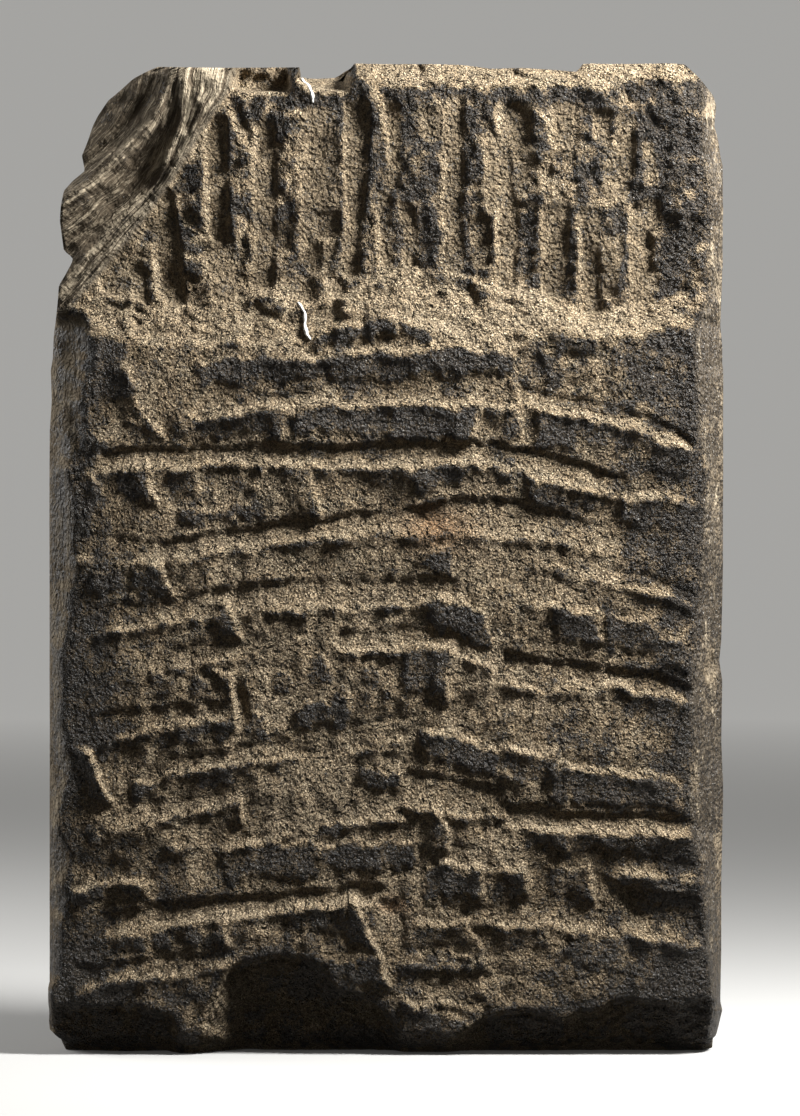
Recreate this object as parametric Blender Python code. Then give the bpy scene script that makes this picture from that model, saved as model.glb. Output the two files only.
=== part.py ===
# Stone relief panel: one upright slab of dark schist with a tool-marked face.
#
# The slab stands on a flat foot with its face towards -Y. The upper part of the face is cut back and
# grooved with upright gouge strokes, a rough ledge follows, and below it furrows lie in chevron courses.
# The top left corner is broken away, the top edge has a notch and a pocket, and the foot is chipped.
#
# The face was surveyed on a grid of small squares: places on it are given as (across, down) in marks of
# that grid, and MARKS_* say where the slab's edges lie on it. Depths are counted in DEPTH_UNIT behind
# the front plane.

import bmesh
import bpy
import numpy as np

# Driving dimensions, in metres
WIDTH = 0.280
HEIGHT = 0.410
THICKNESS = 0.075

# The cut-back ground of the upper part, and the ground between the courses of the lower part
UPPER_RECESS = 0.012
LOWER_GROUND = 0.0024

# How far the arris falls back where the face meets the sides, the top and the foot
SIDE_FALL = 0.017
UPPER_SIDE_FALL = 0.009
TOP_FALL = 0.011
FOOT_FALL = 0.010

# The fracture of the top left corner starts this far behind the front plane
FRACTURE_START = 0.008

# The pocket behind the top edge and the notch beside it
POCKET_DEPTH = 0.018
NOTCH_DEPTH = 0.030

# Uneven surface of the pecked ground, the sides' waviness and the rounding of the rear edges
ROUGHNESS = 0.0010
SIDE_WAVE = 0.0022
REAR_ROUND = 0.006

# Stock beyond the flat foot and the flat back, which the dressing takes off
DRESSING = 0.003

# Metres to one step of the depths in the lists below
DEPTH_UNIT = 0.001

# Where the slab's edges lie on the survey grid
MARKS_LEFT = 48.0
MARKS_RIGHT = 726.0
MARKS_TOP = 58.5
MARKS_FOOT = 1056.0

# Fineness of the face before its flat areas are merged, and the triangles that are kept
COLUMNS = 200
ROWS = 294
TRIANGLES_KEPT = 7600

STONE_COLOUR = (0.20, 0.155, 0.105, 1.0)
STONE_ROUGHNESS = 0.85

# Outline of the slab: the top and foot as (across, down), left and right read downwards
TOP_LINE = [
    (49, 66), (160, 66), (302, 66), (308, 77), (347, 77), (356, 62), (400, 63), (460, 64), (490, 68),
    (550, 69), (572, 71), (582, 63), (600, 61), (640, 58.5), (676, 59), (683, 62), (726, 62),
]
FOOT_LINE = [(48, 1052), (175, 1055), (660, 1052), (726, 1052)]
LEFT_LINE = [
    (161, 58), (150, 70), (122, 90), (100, 115), (90, 140), (84, 155), (87, 170), (75, 180), (66, 190),
    (62, 220), (66, 250), (75, 257), (74, 262), (61, 285), (58, 320), (53, 370), (52, 430), (50, 700),
    (49, 1000), (48, 1025), (60, 1037), (85, 1050), (90, 1056),
]
RIGHT_LINE = [
    (683, 58), (684, 63), (700, 78), (713, 95), (714, 125), (720, 155), (725, 190), (724, 245),
    (721, 300), (722, 365), (726, 380), (726, 400), (723, 470), (722, 600), (719, 660), (722, 790),
    (721, 950), (722, 1010), (716, 1035), (700, 1049), (698, 1056),
]

# Arrises: where the face starts to fall away to the sides and to the top
LEFT_ARRIS = [
    (97, 330), (85, 400), (83, 430), (72, 475), (78, 540), (83, 570), (70, 620), (65, 720), (75, 760),
    (62, 830), (72, 870), (60, 970), (58, 1000),
]
RIGHT_ARRIS = [
    (703, 100), (706, 300), (690, 330), (698, 440), (704, 470), (694, 640), (688, 700), (684, 790),
    (700, 870), (712, 1000),
]
TOP_ARRIS = [
    (49, 75), (160, 72), (225, 80), (242, 91), (285, 91), (303, 84), (308, 90), (347, 90), (366, 88),
    (440, 82), (520, 86), (600, 86), (640, 82), (690, 88), (712, 110),
]
POCKET_SPAN = (232, 294)
NOTCH_SPAN = (306, 350)

# The ledge: its upper line, where the gouge strokes end, and its lower line
LEDGE_TOP = [
    (50, 292), (95, 303), (175, 310), (200, 306), (262, 291), (300, 308), (345, 296), (383, 272),
    (400, 269), (455, 275), (500, 290), (560, 300), (593, 313), (615, 318), (642, 308), (726, 303),
]
LEDGE_FOOT = [
    (50, 335), (130, 336), (170, 347), (236, 342), (300, 346), (345, 324), (380, 310), (400, 326),
    (450, 336), (490, 347), (520, 352), (600, 333), (700, 346), (726, 346),
]

# The broken corner: its lower edge, then its depth behind FRACTURE_START by distance from that edge
FRACTURE_EDGE = [
    (235, 66), (228, 92), (205, 127), (190, 152), (175, 177), (150, 212), (125, 247), (100, 277), (62, 318),
]
FRACTURE_PROFILE = [(0, 0), (10, 2), (22, 4), (34, 9), (50, 5), (62, 10), (90, 18), (130, 26)]

# Gouge strokes of the upper part: ends (across, down, across, down), width and depth
GOUGES = [
    (170, 188, 175, 304, 19, 5.5), (127, 246, 131, 292, 11, 2.5), (141, 258, 142, 303, 9, 2.0),
    (221, 118, 221, 240, 18, 5.5), (222, 236, 225, 304, 15, 3.2), (195, 165, 197, 300, 10, 1.6),
    (266, 122, 266, 288, 18, 4.8), (312, 128, 312, 274, 22, 3.2), (362, 118, 355, 275, 15, 4.6),
    (387, 203, 387, 262, 9, 2.6), (393, 110, 393, 193, 7, 1.8), (410, 198, 410, 264, 12, 3.0),
    (455, 100, 455, 270, 18, 5.0), (497, 133, 497, 216, 19, 3.8), (485, 208, 485, 264, 19, 3.0),
    (520, 170, 511, 288, 15, 4.0), (557, 205, 557, 292, 18, 4.6), (562, 290, 588, 310, 12, 2.6),
    (593, 205, 593, 314, 18, 5.0), (631, 122, 631, 163, 9, 2.4), (642, 233, 642, 302, 17, 3.6),
]

# Furrows of the chevron courses: depth, the deep line under one course, the arris of the next course
FURROWS = [
    (1.6, [(196, 330), (350, 340), (450, 328)], [(196, 358), (300, 350), (450, 338)]),
    (3.4, [(205, 388), (290, 392), (400, 384), (512, 374)], [(205, 410), (350, 397), (512, 400)]),
    (4.0, [(516, 379), (632, 402), (690, 436)], [(500, 398), (640, 421), (700, 447)]),
    (4.8, [(112, 449), (285, 441), (476, 441)], [(105, 466), (200, 457), (415, 463), (476, 460)]),
    (4.6, [(474, 439), (560, 454), (625, 474)], [(476, 459), (540, 471), (650, 492)]),
    (1.8, [(630, 462), (700, 478)], [(620, 488), (700, 497)]),
    (4.4, [(85, 556), (170, 538), (300, 519), (400, 511), (470, 494), (512, 497), (640, 535)],
     [(85, 572), (200, 548), (300, 534), (400, 526), (512, 545), (640, 560)]),
    (3.6, [(98, 600), (165, 598), (283, 579), (458, 573)], [(88, 626), (250, 606), (458, 592)]),
    (3.0, [(525, 580), (575, 578)], [(520, 595), (580, 606)]),
    (3.2, [(553, 548), (648, 570), (690, 584)], [(553, 566), (640, 581), (690, 600)]),
    (3.0, [(170, 640), (243, 634)], [(165, 660), (243, 649)]),
    (3.4, [(340, 628), (400, 623), (450, 627), (492, 645)], [(340, 642), (440, 641), (492, 660)]),
    (5.4, [(505, 650), (600, 665), (690, 684)], [(505, 676), (600, 690), (690, 700)]),
    (3.8, [(104, 706), (160, 706), (232, 694)], [(104, 734), (232, 711)]),
    (3.4, [(374, 716), (425, 712), (450, 718)], [(374, 735), (450, 727)]),
    (2.0, [(450, 716), (560, 735), (690, 770)], [(440, 721), (540, 748), (690, 787)]),
    (3.6, [(165, 751), (235, 749), (300, 736)], [(165, 768), (300, 752)]),
    (3.0, [(345, 722), (402, 712)], [(345, 745), (402, 740)]),
    (5.0, [(408, 767), (440, 774), (505, 786)], [(405, 800), (505, 812)]),
    (3.6, [(112, 806), (242, 785)], [(100, 821), (242, 796)]),
    (3.4, [(345, 802), (405, 796)], [(345, 818), (405, 811)]),
    (3.2, [(170, 824), (240, 817), (292, 815)], [(170, 842), (250, 836), (300, 826)]),
    (5.4, [(510, 800), (600, 812), (692, 816)], [(510, 818), (600, 829), (692, 828)]),
    (5.6, [(104, 911), (200, 897), (300, 889), (380, 881)], [(88, 934), (200, 913), (380, 900)]),
    (3.0, [(440, 840), (522, 847)], [(430, 851), (500, 863), (530, 866)]),
    (4.4, [(610, 847), (704, 860)], [(610, 866), (704, 874)]),
    (3.8, [(425, 900), (604, 906)], [(410, 914), (560, 919), (604, 926)]),
    (6.5, [(618, 880), (702, 892)], [(618, 928), (702, 940)]),
    (3.8, [(74, 962), (150, 955), (232, 944)], [(68, 992), (100, 979), (232, 962)]),
    (2.6, [(404, 945), (472, 947)], [(404, 955), (472, 958)]),
    (3.0, [(404, 977), (475, 978)], [(395, 990), (420, 997), (475, 1000)]),
    (2.4, [(75, 868), (150, 860)], [(75, 886), (150, 875)]),
]

# Worn blocks that stand proud: left, top, right, foot, fall of the top to the right, height
BLOCKS = [
    (196, 356, 330, 386, -0.04, 2.2), (330, 350, 440, 383, -0.02, 2.2), (425, 342, 520, 370, 0.08, 2.2),
    (545, 352, 600, 380, 0.1, 1.2), (640, 350, 690, 392, 0.1, 1.2), (88, 345, 124, 400, 0.0, 1.4),
    (206, 407, 284, 436, -0.1, 2.0), (296, 400, 392, 437, 0.0, 2.3), (388, 400, 480, 440, 0.02, 2.6),
    (540, 406, 577, 448, 0.12, 2.0), (580, 412, 640, 444, 0.12, 1.8), (76, 482, 104, 512, 0.0, 1.4),
    (120, 470, 152, 492, 0.0, 1.6), (420, 460, 466, 490, -0.05, 2.2), (528, 474, 566, 500, 0.2, 2.0),
    (572, 481, 602, 506, 0.2, 2.2), (620, 492, 662, 522, 0.1, 2.0), (180, 510, 262, 527, -0.12, 1.2),
    (95, 568, 120, 592, -0.2, 1.8), (132, 566, 166, 592, 0.0, 1.8), (416, 546, 452, 570, 0.1, 2.0),
    (552, 604, 602, 642, 0.1, 2.2), (604, 618, 652, 650, 0.1, 2.0), (654, 632, 686, 665, 0.1, 1.6),
    (440, 590, 494, 632, 0.25, 2.6), (405, 643, 452, 690, 0.0, 2.4), (152, 672, 178, 697, 0.0, 1.3),
    (196, 674, 216, 698, 0.0, 1.4), (314, 653, 331, 682, 0.0, 1.4), (178, 722, 236, 746, -0.1, 1.8),
    (248, 708, 272, 736, 0.0, 1.4), (298, 699, 350, 732, -0.08, 2.2), (420, 730, 500, 764, 0.2, 2.4),
    (502, 742, 560, 780, 0.15, 1.4), (556, 762, 684, 806, 0.08, 2.4), (204, 762, 234, 780, 0.0, 1.4),
    (134, 780, 162, 799, 0.0, 1.6), (356, 771, 402, 792, 0.0, 2.0), (320, 823, 346, 842, 0.0, 1.6),
    (222, 842, 320, 882, -0.03, 2.2), (320, 842, 424, 878, -0.06, 2.4), (528, 828, 700, 850, 0.0, 1.7),
    (420, 864, 482, 896, 0.08, 2.0), (498, 866, 592, 897, 0.0, 1.6), (625, 868, 690, 884, 0.1, 2.0),
    (70, 888, 102, 906, -0.1, 1.6), (112, 878, 150, 902, 0.0, 1.8), (112, 934, 224, 948, -0.08, 1.5),
    (286, 905, 350, 936, -0.05, 1.8), (566, 928, 704, 980, 0.08, 1.4), (404, 955, 474, 975, 0.0, 1.4),
    (72, 984, 132, 1006, -0.1, 1.6), (420, 915, 480, 944, 0.0, 1.4), (200, 308, 233, 328, 0.0, 2.6),
    (340, 315, 396, 344, -0.1, 2.6), (562, 330, 597, 356, 0.1, 1.6),
]

# Scarps: a line downwards, the height by which its left side stands proud, and how far that reaches
SCARPS = [
    ([(150, 463), (157, 505)], 1.5, 26), ([(306, 468), (322, 515)], 1.8, 30),
    ([(228, 600), (245, 635)], 1.8, 26), ([(88, 750), (112, 800)], 2.2, 18),
    ([(436, 808), (447, 822), (450, 850)], 1.8, 26), ([(355, 898), (375, 945)], 1.6, 24),
    ([(451, 645), (451, 700)], 1.8, 26), ([(480, 402), (474, 440)], 1.8, 30),
    ([(233, 676), (236, 725)], 1.8, 20), ([(126, 345), (150, 420)], 1.6, 26),
]

# Flake scars along the foot: upper edge of each, and its depth at the foot
FLAKES = [
    ([(20, 1004), (80, 990), (110, 1002), (150, 1004), (180, 1012)], 16),
    ([(205, 1006), (222, 982), (245, 963), (272, 953), (300, 956), (330, 975), (390, 1010), (404, 1040)], 19),
    ([(466, 1034), (500, 1011), (530, 1009), (560, 1016), (580, 1006), (620, 1001), (760, 1000)], 17),
]


def lattice(ix, iy, seed):
    """A fixed value from -1 to 1 for each whole-number point."""
    word = (ix * 374761393 + iy * 668265263 + seed * 974634777) & 0xFFFFFFFF
    word = ((word ^ (word >> 13)) * 1274126177) & 0xFFFFFFFF
    word = ((word ^ (word >> 15)) * 2246822519) & 0xFFFFFFFF
    return (word ^ (word >> 16)) / 2147483647.5 - 1.0


def value_noise(x, y, seed):
    """Smooth unevenness: the lattice's values blended over each square."""
    ix = np.floor(x).astype(np.int64)
    iy = np.floor(y).astype(np.int64)
    u = smooth(x - ix)
    v = smooth(y - iy)
    upper = lattice(ix, iy, seed) * (1 - u) + lattice(ix + 1, iy, seed) * u
    lower = lattice(ix, iy + 1, seed) * (1 - u) + lattice(ix + 1, iy + 1, seed) * u
    return upper * (1 - v) + lower * v


def fractal(x, y, size, octaves, seed):
    """Unevenness of the given size with finer and finer layers on it, each half as strong."""
    total = 0.0
    for layer in range(octaves):
        step = size / 2**layer
        total = total + value_noise(x / step, y / step, seed + layer) / 2**layer
    return total


def smooth(t):
    """0 below 0, 1 above 1 and an even curve between."""
    t = np.clip(t, 0.0, 1.0)
    return t * t * (3 - 2 * t)


def along(points, across):
    """Height of a line of points at each place across."""
    xs, ys = zip(*points)
    return np.interp(across, xs, ys)


def beside(points, down):
    """Place across of a line of points that runs downwards."""
    xs, ys = zip(*points)
    return np.interp(down, ys, xs)


def furrow_cut(across, down, depth, deep_line, arris):
    """A trough with a steep upper wall at the deep line and a long slope up to the arris below it."""
    wall = 6.5
    start = deep_line[0][0]
    stop = deep_line[-1][0]
    top = along(deep_line, across)
    foot = along(arris, across)
    ends = smooth((across - start + 6) / 12) * smooth((stop + 6 - across) / 12)
    slope = np.clip(1 - (down - top) / np.maximum(foot - top, wall), 0, 1) ** 1.15
    steep = smooth(1 + (down - top) / wall)
    lip = 0.9 * np.exp(-(((down - foot - 2) / 5.0) ** 2))
    return ends * depth * np.where(down >= top, slope, steep), ends * lip


def lower_face(across, down, unevenness):
    """Depth of the chevron courses."""
    depth = LOWER_GROUND / DEPTH_UNIT + unevenness
    for deep, deep_line, arris in FURROWS:
        cut, lip = furrow_cut(across, down, deep, deep_line, arris)
        depth = np.where(cut > 0, np.maximum(depth, cut + 1.2), depth) - lip
    for left, top, right, foot, fall, height in BLOCKS:
        level = down - fall * (across - left)
        inside = np.minimum(np.minimum(across - left, right - across), np.minimum(level - top, foot - level))
        depth = depth - height * smooth((inside + 1.5) / 5.0)
    for points, height, reach in SCARPS:
        edge = beside(points, down)
        ends = smooth((down - points[0][1] + 6) / 10) * smooth((points[-1][1] + 6 - down) / 10)
        left = np.clip(1 + (across - edge) / reach, 0, 1) * smooth((edge + 4 - across) / 5.0)
        depth = depth - height * left * ends
    for edge, deep in FLAKES:
        below = down - along(edge, across)
        ends = smooth((across - edge[0][0]) / 16) * smooth((edge[-1][0] - across) / 16)
        depth = depth + deep * ends * np.clip(below / 55, 0, 1) ** 0.65
    return depth


def upper_face(across, down):
    """Depth of the cut-back ground with its round-bottomed gouge strokes."""
    depth = UPPER_RECESS / DEPTH_UNIT + 1.2 * fractal(across, down, 50, 3, 41)
    for x0, y0, x1, y1, width, deep in GOUGES:
        length = np.hypot(x1 - x0, y1 - y0)
        share = np.clip(((across - x0) * (x1 - x0) + (down - y0) * (y1 - y0)) / length**2, 0, 1)
        off = np.hypot(across - x0 - share * (x1 - x0), down - y0 - share * (y1 - y0)) / (width / 2)
        fade = 0.35 + 0.65 * smooth(share * length / 40)
        depth = depth + deep * fade * np.sqrt(np.clip(1 - off**2, 0, 1))
    return depth


def fracture(across, down, depth):
    """The corner breaks off behind a slanting edge, in ridges and hollows along it."""
    off = (beside(FRACTURE_EDGE, down) - across) * 0.8
    reach, fall = zip(*FRACTURE_PROFILE)
    ridges = 1.6 * fractal(across + 0.73 * down, (down - across) * 0.2, 16, 3, 61)
    broken = FRACTURE_START / DEPTH_UNIT + np.interp(off, reach, fall) + ridges
    share = smooth((off + 2) / 6) * smooth((322 - down) / 10)
    return depth * (1 - share) + np.maximum(broken, depth * 0.6) * share


def edge_falls(across, down, depth):
    """The face falls back to the sides, the top and the foot, into the pocket and the notch."""
    wave = 4.0 * fractal(across, down, 26, 3, 91)
    side_fall = np.where(down > 318, SIDE_FALL, UPPER_SIDE_FALL) / DEPTH_UNIT
    left = beside(LEFT_LINE, down)
    left_arris = beside(LEFT_ARRIS, down) + wave
    share = np.clip((left_arris - across) / np.maximum(left_arris - left, 8), 0, 1)
    depth = depth + side_fall * share**1.3 * (down > 300)
    right = beside(RIGHT_LINE, down)
    right_arris = beside(RIGHT_ARRIS, down) + 0.6 * wave
    share = np.clip((across - right_arris) / np.maximum(right - right_arris, 8), 0, 1)
    depth = depth + side_fall * share**1.3
    top = along(TOP_LINE, across)
    top_arris = along(TOP_ARRIS, across)
    above = np.clip((top_arris - down) / np.maximum(top_arris - top, 4), 0, 1)
    in_notch = smooth((across - NOTCH_SPAN[0]) / 4) * smooth((NOTCH_SPAN[1] - across) / 5)
    in_pocket = smooth((across - POCKET_SPAN[0]) / 8) * smooth((POCKET_SPAN[1] - across) / 8)
    broken = across < beside(FRACTURE_EDGE, down)
    plain = TOP_FALL * above**1.2 * (1 - in_notch) * (1 - in_pocket) * np.where(broken, 0.3, 1.0)
    pocket = in_pocket * POCKET_DEPTH * smooth(above * 8)
    notch = in_notch * NOTCH_DEPTH * above
    depth = depth + (plain + pocket + notch) / DEPTH_UNIT
    return depth + FOOT_FALL / DEPTH_UNIT * np.clip((down - 1030) / 22, 0, 1) ** 2


def face_depth(across, down):
    """Depth of the whole face behind the front plane, in metres."""
    hand_x = across + 3.0 * fractal(across, down, 34, 3, 11)
    hand_y = down + 2.4 * fractal(across, down, 30, 3, 23)
    unevenness = ROUGHNESS / DEPTH_UNIT * fractal(across, down, 44, 4, 5)
    lower = lower_face(hand_x, hand_y, unevenness)
    upper = upper_face(hand_x, hand_y)
    ledge_top = along(LEDGE_TOP, hand_x)
    share = np.clip((hand_y - ledge_top) / (along(LEDGE_FOOT, hand_x) - ledge_top), 0, 1)
    depth = upper * (1 - share) + lower * share
    depth = edge_falls(across, down, fracture(across, down, depth))
    return DEPTH_UNIT * np.clip(depth, 0, None)


def face_place(u, v):
    """Survey marks of a face point: u runs from the left outline to the right one, v from top to foot."""
    down = MARKS_TOP + v * (MARKS_FOOT - MARKS_TOP)
    across = beside(LEFT_LINE, down) * (1 - u) + beside(RIGHT_LINE, down) * u
    near_top = np.clip(1 - v * 14, 0, 1)
    near_foot = np.clip(1 - (1 - v) * 14, 0, 1)
    down = down + near_top * (along(TOP_LINE, across) - MARKS_TOP)
    down = down + near_foot * (along(FOOT_LINE, across) - MARKS_FOOT)
    across = beside(LEFT_LINE, down) * (1 - u) + beside(RIGHT_LINE, down) * u
    return across, down


def get_points(mesh):
    points = np.empty(len(mesh.vertices) * 3, np.float32)
    mesh.vertices.foreach_get("co", points)
    return points.reshape(-1, 3).astype(np.float64)


def set_points(mesh, points):
    # Whole hundredths of a millimetre
    mesh.vertices.foreach_set("co", np.round(points, 5).astype(np.float32).ravel())


def carve_face(mesh):
    """Turns a flat unit grid into the carved face."""
    flat = get_points(mesh)
    u = flat[:, 0] + 0.5
    v = 0.5 - flat[:, 1]
    across, down = face_place(u, v)
    x = ((across - MARKS_LEFT) / (MARKS_RIGHT - MARKS_LEFT) - 0.5) * WIDTH
    z = (MARKS_FOOT - down) / (MARKS_FOOT - MARKS_TOP) * HEIGHT
    y = face_depth(across, down) - THICKNESS / 2
    set_points(mesh, np.column_stack([x, y, z]))


def draw_back(points, share, inset):
    """One ring of the sides: the outline moved back by a share of the way and drawn in."""
    x, y, z = points.T
    rear = THICKNESS / 2 + DRESSING
    girth = np.arctan2(z - HEIGHT / 2, x) * 9
    drawn = inset + SIDE_WAVE * (0.5 + 0.5 * fractal(girth, girth * 0 + share * 4, 1.0, 2, 71))
    at_foot = z < 0.03 * HEIGHT
    back_x = x * (1 - drawn / (WIDTH / 2))
    back_z = HEIGHT / 2 + (z - HEIGHT / 2) * (1 - drawn / (HEIGHT / 2))
    back_z = np.where(at_foot, z - 2 * DRESSING * min(1.0, 4 * share), back_z)
    return np.column_stack([back_x, y + (rear - y) * share, back_z])


def add_sides(mesh):
    """Draws the face's outline back in rings and closes the rear with one flat face."""
    rings = [(0.12, 0.0), (0.4, 0.0), (0.7, 0.0), (0.92, 0.2 * REAR_ROUND), (1.0, REAR_ROUND)]
    work = bmesh.new()
    work.from_mesh(mesh)
    edges = [edge for edge in work.edges if edge.is_boundary]
    outline = None
    for share, inset in rings:
        made = bmesh.ops.extrude_edge_only(work, edges=edges)["geom"]
        ring = [item for item in made if isinstance(item, bmesh.types.BMVert)]
        edges = [item for item in made if isinstance(item, bmesh.types.BMEdge) and item.is_boundary]
        if outline is None:
            outline = np.array([vert.co[:] for vert in ring], np.float64)
        for vert, place in zip(ring, draw_back(outline, share, inset).round(5)):
            vert.co = place
    bmesh.ops.contextual_create(work, geom=edges)
    bmesh.ops.recalc_face_normals(work, faces=work.faces)
    work.to_mesh(mesh)
    work.free()


def make_stone_material():
    material = bpy.data.materials.new("stone")
    material.use_nodes = True
    shader = material.node_tree.nodes["Principled BSDF"]
    shader.inputs["Base Color"].default_value = STONE_COLOUR
    shader.inputs["Roughness"].default_value = STONE_ROUGHNESS
    shader.inputs["Metallic"].default_value = 0.0
    material.diffuse_color = STONE_COLOUR
    return material


def make_dressing_box(collection):
    """The room inside the flat foot and the flat back, open to every other side."""
    spare = 0.5
    bpy.ops.mesh.primitive_cube_add(size=1.0)
    box = bpy.context.object
    box.name = "dressing_planes"
    depth = THICKNESS + spare
    box.dimensions = (WIDTH + spare, depth, HEIGHT + spare)
    box.location = (0.0, THICKNESS / 2 - depth / 2, (HEIGHT + spare) / 2)
    bpy.context.view_layer.update()
    box.data.transform(box.matrix_world)
    box.matrix_world.identity()
    box.hide_render = True
    box.display_type = "WIRE"
    for home in box.users_collection:
        home.objects.unlink(box)
    collection.objects.link(box)
    return box


def make_slab(collection, cutters):
    grid = bmesh.new()
    bmesh.ops.create_grid(grid, x_segments=COLUMNS, y_segments=ROWS, size=0.5)
    mesh = bpy.data.meshes.new("stone_panel")
    grid.to_mesh(mesh)
    grid.free()
    carve_face(mesh)
    add_sides(mesh)
    slab = bpy.data.objects.new("stone_panel", mesh)
    collection.objects.link(slab)
    mesh.materials.append(make_stone_material())

    merge = slab.modifiers.new("merge flat areas", "DECIMATE")
    merge.decimate_type = "COLLAPSE"
    merge.ratio = TRIANGLES_KEPT / (2 * len(mesh.polygons))
    dress = slab.modifiers.new("dress foot and back", "BOOLEAN")
    dress.operation = "INTERSECT"
    dress.solver = "EXACT"
    dress.object = make_dressing_box(cutters)
    return slab


def main():
    for item in list(bpy.data.objects):
        bpy.data.objects.remove(item, do_unlink=True)
    scene = bpy.context.scene
    parts = bpy.data.collections.new("stone_relief_panel")
    cutters = bpy.data.collections.new("cutters")
    scene.collection.children.link(parts)
    scene.collection.children.link(cutters)
    make_slab(parts, cutters)


main()
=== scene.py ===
# Stone relief panel: the finish of one upright, tool-marked slab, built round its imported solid
import math

import bpy
import numpy as np
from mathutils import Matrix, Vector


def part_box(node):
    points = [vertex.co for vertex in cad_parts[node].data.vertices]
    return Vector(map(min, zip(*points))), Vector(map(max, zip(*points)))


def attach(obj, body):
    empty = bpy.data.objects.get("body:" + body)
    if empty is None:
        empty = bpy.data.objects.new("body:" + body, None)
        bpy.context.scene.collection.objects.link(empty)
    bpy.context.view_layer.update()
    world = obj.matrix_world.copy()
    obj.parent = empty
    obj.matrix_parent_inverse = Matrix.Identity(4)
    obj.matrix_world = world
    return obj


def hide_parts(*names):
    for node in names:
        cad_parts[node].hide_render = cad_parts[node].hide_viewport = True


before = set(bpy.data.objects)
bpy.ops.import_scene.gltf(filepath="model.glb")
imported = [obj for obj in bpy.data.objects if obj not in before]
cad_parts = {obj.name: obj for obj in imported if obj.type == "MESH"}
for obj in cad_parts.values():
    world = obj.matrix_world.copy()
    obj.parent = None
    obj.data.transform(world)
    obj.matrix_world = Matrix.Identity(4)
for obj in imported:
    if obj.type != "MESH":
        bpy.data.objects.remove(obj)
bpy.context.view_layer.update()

print("frame loaded:", sorted(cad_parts))

# noise and small helpers

def lattice(ix, iy, iz, seed):  # a fixed value from -1 to 1 for every whole-number point
    word = (ix * 374761393 + iy * 668265263 + iz * 1440662683 + seed * 974634777) & 0xFFFFFFFF
    word = ((word ^ (word >> 13)) * 1274126177) & 0xFFFFFFFF
    word = ((word ^ (word >> 15)) * 2246822519) & 0xFFFFFFFF
    return (word ^ (word >> 16)) / 2147483647.5 - 1.0


def smooth(t):  # 0 below 0, 1 above 1, an even curve between
    t = np.clip(t, 0.0, 1.0)
    return t * t * (3.0 - 2.0 * t)


def softNoise(x, y, z, seed):  # the lattice's values blended over each unit cube
    ix, iy, iz = (np.floor(a).astype(np.int64) for a in (x, y, z))
    u, v, w = smooth(x - ix), smooth(y - iy), smooth(z - iz)
    total = 0.0
    for dz, wz in ((0, 1 - w), (1, w)):
        for dy, wy in ((0, 1 - v), (1, v)):
            near = lattice(ix, iy + dy, iz + dz, seed)
            far = lattice(ix + 1, iy + dy, iz + dz, seed)
            total = total + wz * wy * (near + (far - near) * u)
    return total


def fractal(x, y, size, octaves, seed, z=0.0, fade=0.5):  # soft noise plus finer layers, each weaker
    z = np.zeros_like(x) + z
    total, weight = 0.0, 1.0
    for layer in range(octaves):
        step = size / 2 ** layer
        total = total + weight * softNoise(x / step, y / step, z / step, seed + layer)
        weight *= fade
    return total


def pecks(x, y, size, seed, jitter=0.8):
    # pick marks: the deepest of many shallow bowls, one to a cell, so sharp ridges stay between them; 0 to 1
    x, y = x / size, y / size
    ix, iy = np.floor(x).astype(np.int64), np.floor(y).astype(np.int64)
    zero = np.zeros_like(ix)
    deepest = np.full(x.shape, -9.0)
    for dx in (-1, 0, 1):
        for dy in (-1, 0, 1):
            cx = ix + dx + 0.5 + 0.5 * jitter * lattice(ix + dx, iy + dy, zero, seed)
            cy = iy + dy + 0.5 + 0.5 * jitter * lattice(ix + dx, iy + dy, zero, seed + 1)
            depth = 0.35 * lattice(ix + dx, iy + dy, zero, seed + 2)
            deepest = np.maximum(deepest, depth - (x - cx) ** 2 - (y - cy) ** 2)
    return np.clip(deepest + 0.75, 0.0, 1.2)


def chips(x, y, size, seed):
    # broken facets: each point takes the tilted plane of its nearest jittered centre, softened by the next
    x, y = x / size, y / size
    ix, iy = np.floor(x).astype(np.int64), np.floor(y).astype(np.int64)
    zero = np.zeros_like(ix)
    first, second = np.full(x.shape, 9.0), np.full(x.shape, 9.0)
    height1, height2 = np.zeros_like(x), np.zeros_like(x)
    for dx in (-1, 0, 1):
        for dy in (-1, 0, 1):
            gx, gy = ix + dx, iy + dy
            cx = gx + 0.5 + 0.45 * lattice(gx, gy, zero, seed)
            cy = gy + 0.5 + 0.45 * lattice(gx, gy, zero, seed + 1)
            off = np.hypot(x - cx, y - cy)
            plane = (0.5 * lattice(gx, gy, zero, seed + 2) + (x - cx) * lattice(gx, gy, zero, seed + 3)
                     + (y - cy) * lattice(gx, gy, zero, seed + 4))
            nearer = off < first
            second = np.where(nearer, first, np.minimum(second, off))
            height2 = np.where(nearer, height1, np.where(off <= second, plane, height2))
            height1 = np.where(nearer, plane, height1)
            first = np.where(nearer, off, first)
    blend = 0.5 * smooth(1 - (second - first) / 0.25)
    return height1 * (1 - blend) + height2 * blend


def trail(text):  # a line's places, written "across,down across,down", as one row of each
    return np.array([place.split(",") for place in text.split()], float).T


def table(width, text):  # bare numbers, as rows of the given width
    return np.array(text.split(), float).reshape(-1, width)


def lineAt(points, across):  # height of a line of points at each place across
    return np.interp(across, points[0], points[1])


def lineBeside(points, down):  # place across of a line that runs downwards
    return np.interp(down, points[1], points[0])


def fromSegment(x, y, x0, y0, x1, y1):  # distance from a segment
    along = ((x - x0) * (x1 - x0) + (y - y0) * (y1 - y0)) / ((x1 - x0) ** 2 + (y1 - y0) ** 2)
    along = np.clip(along, 0.0, 1.0)
    return np.hypot(x - x0 - along * (x1 - x0), y - y0 - along * (y1 - y0))


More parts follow.
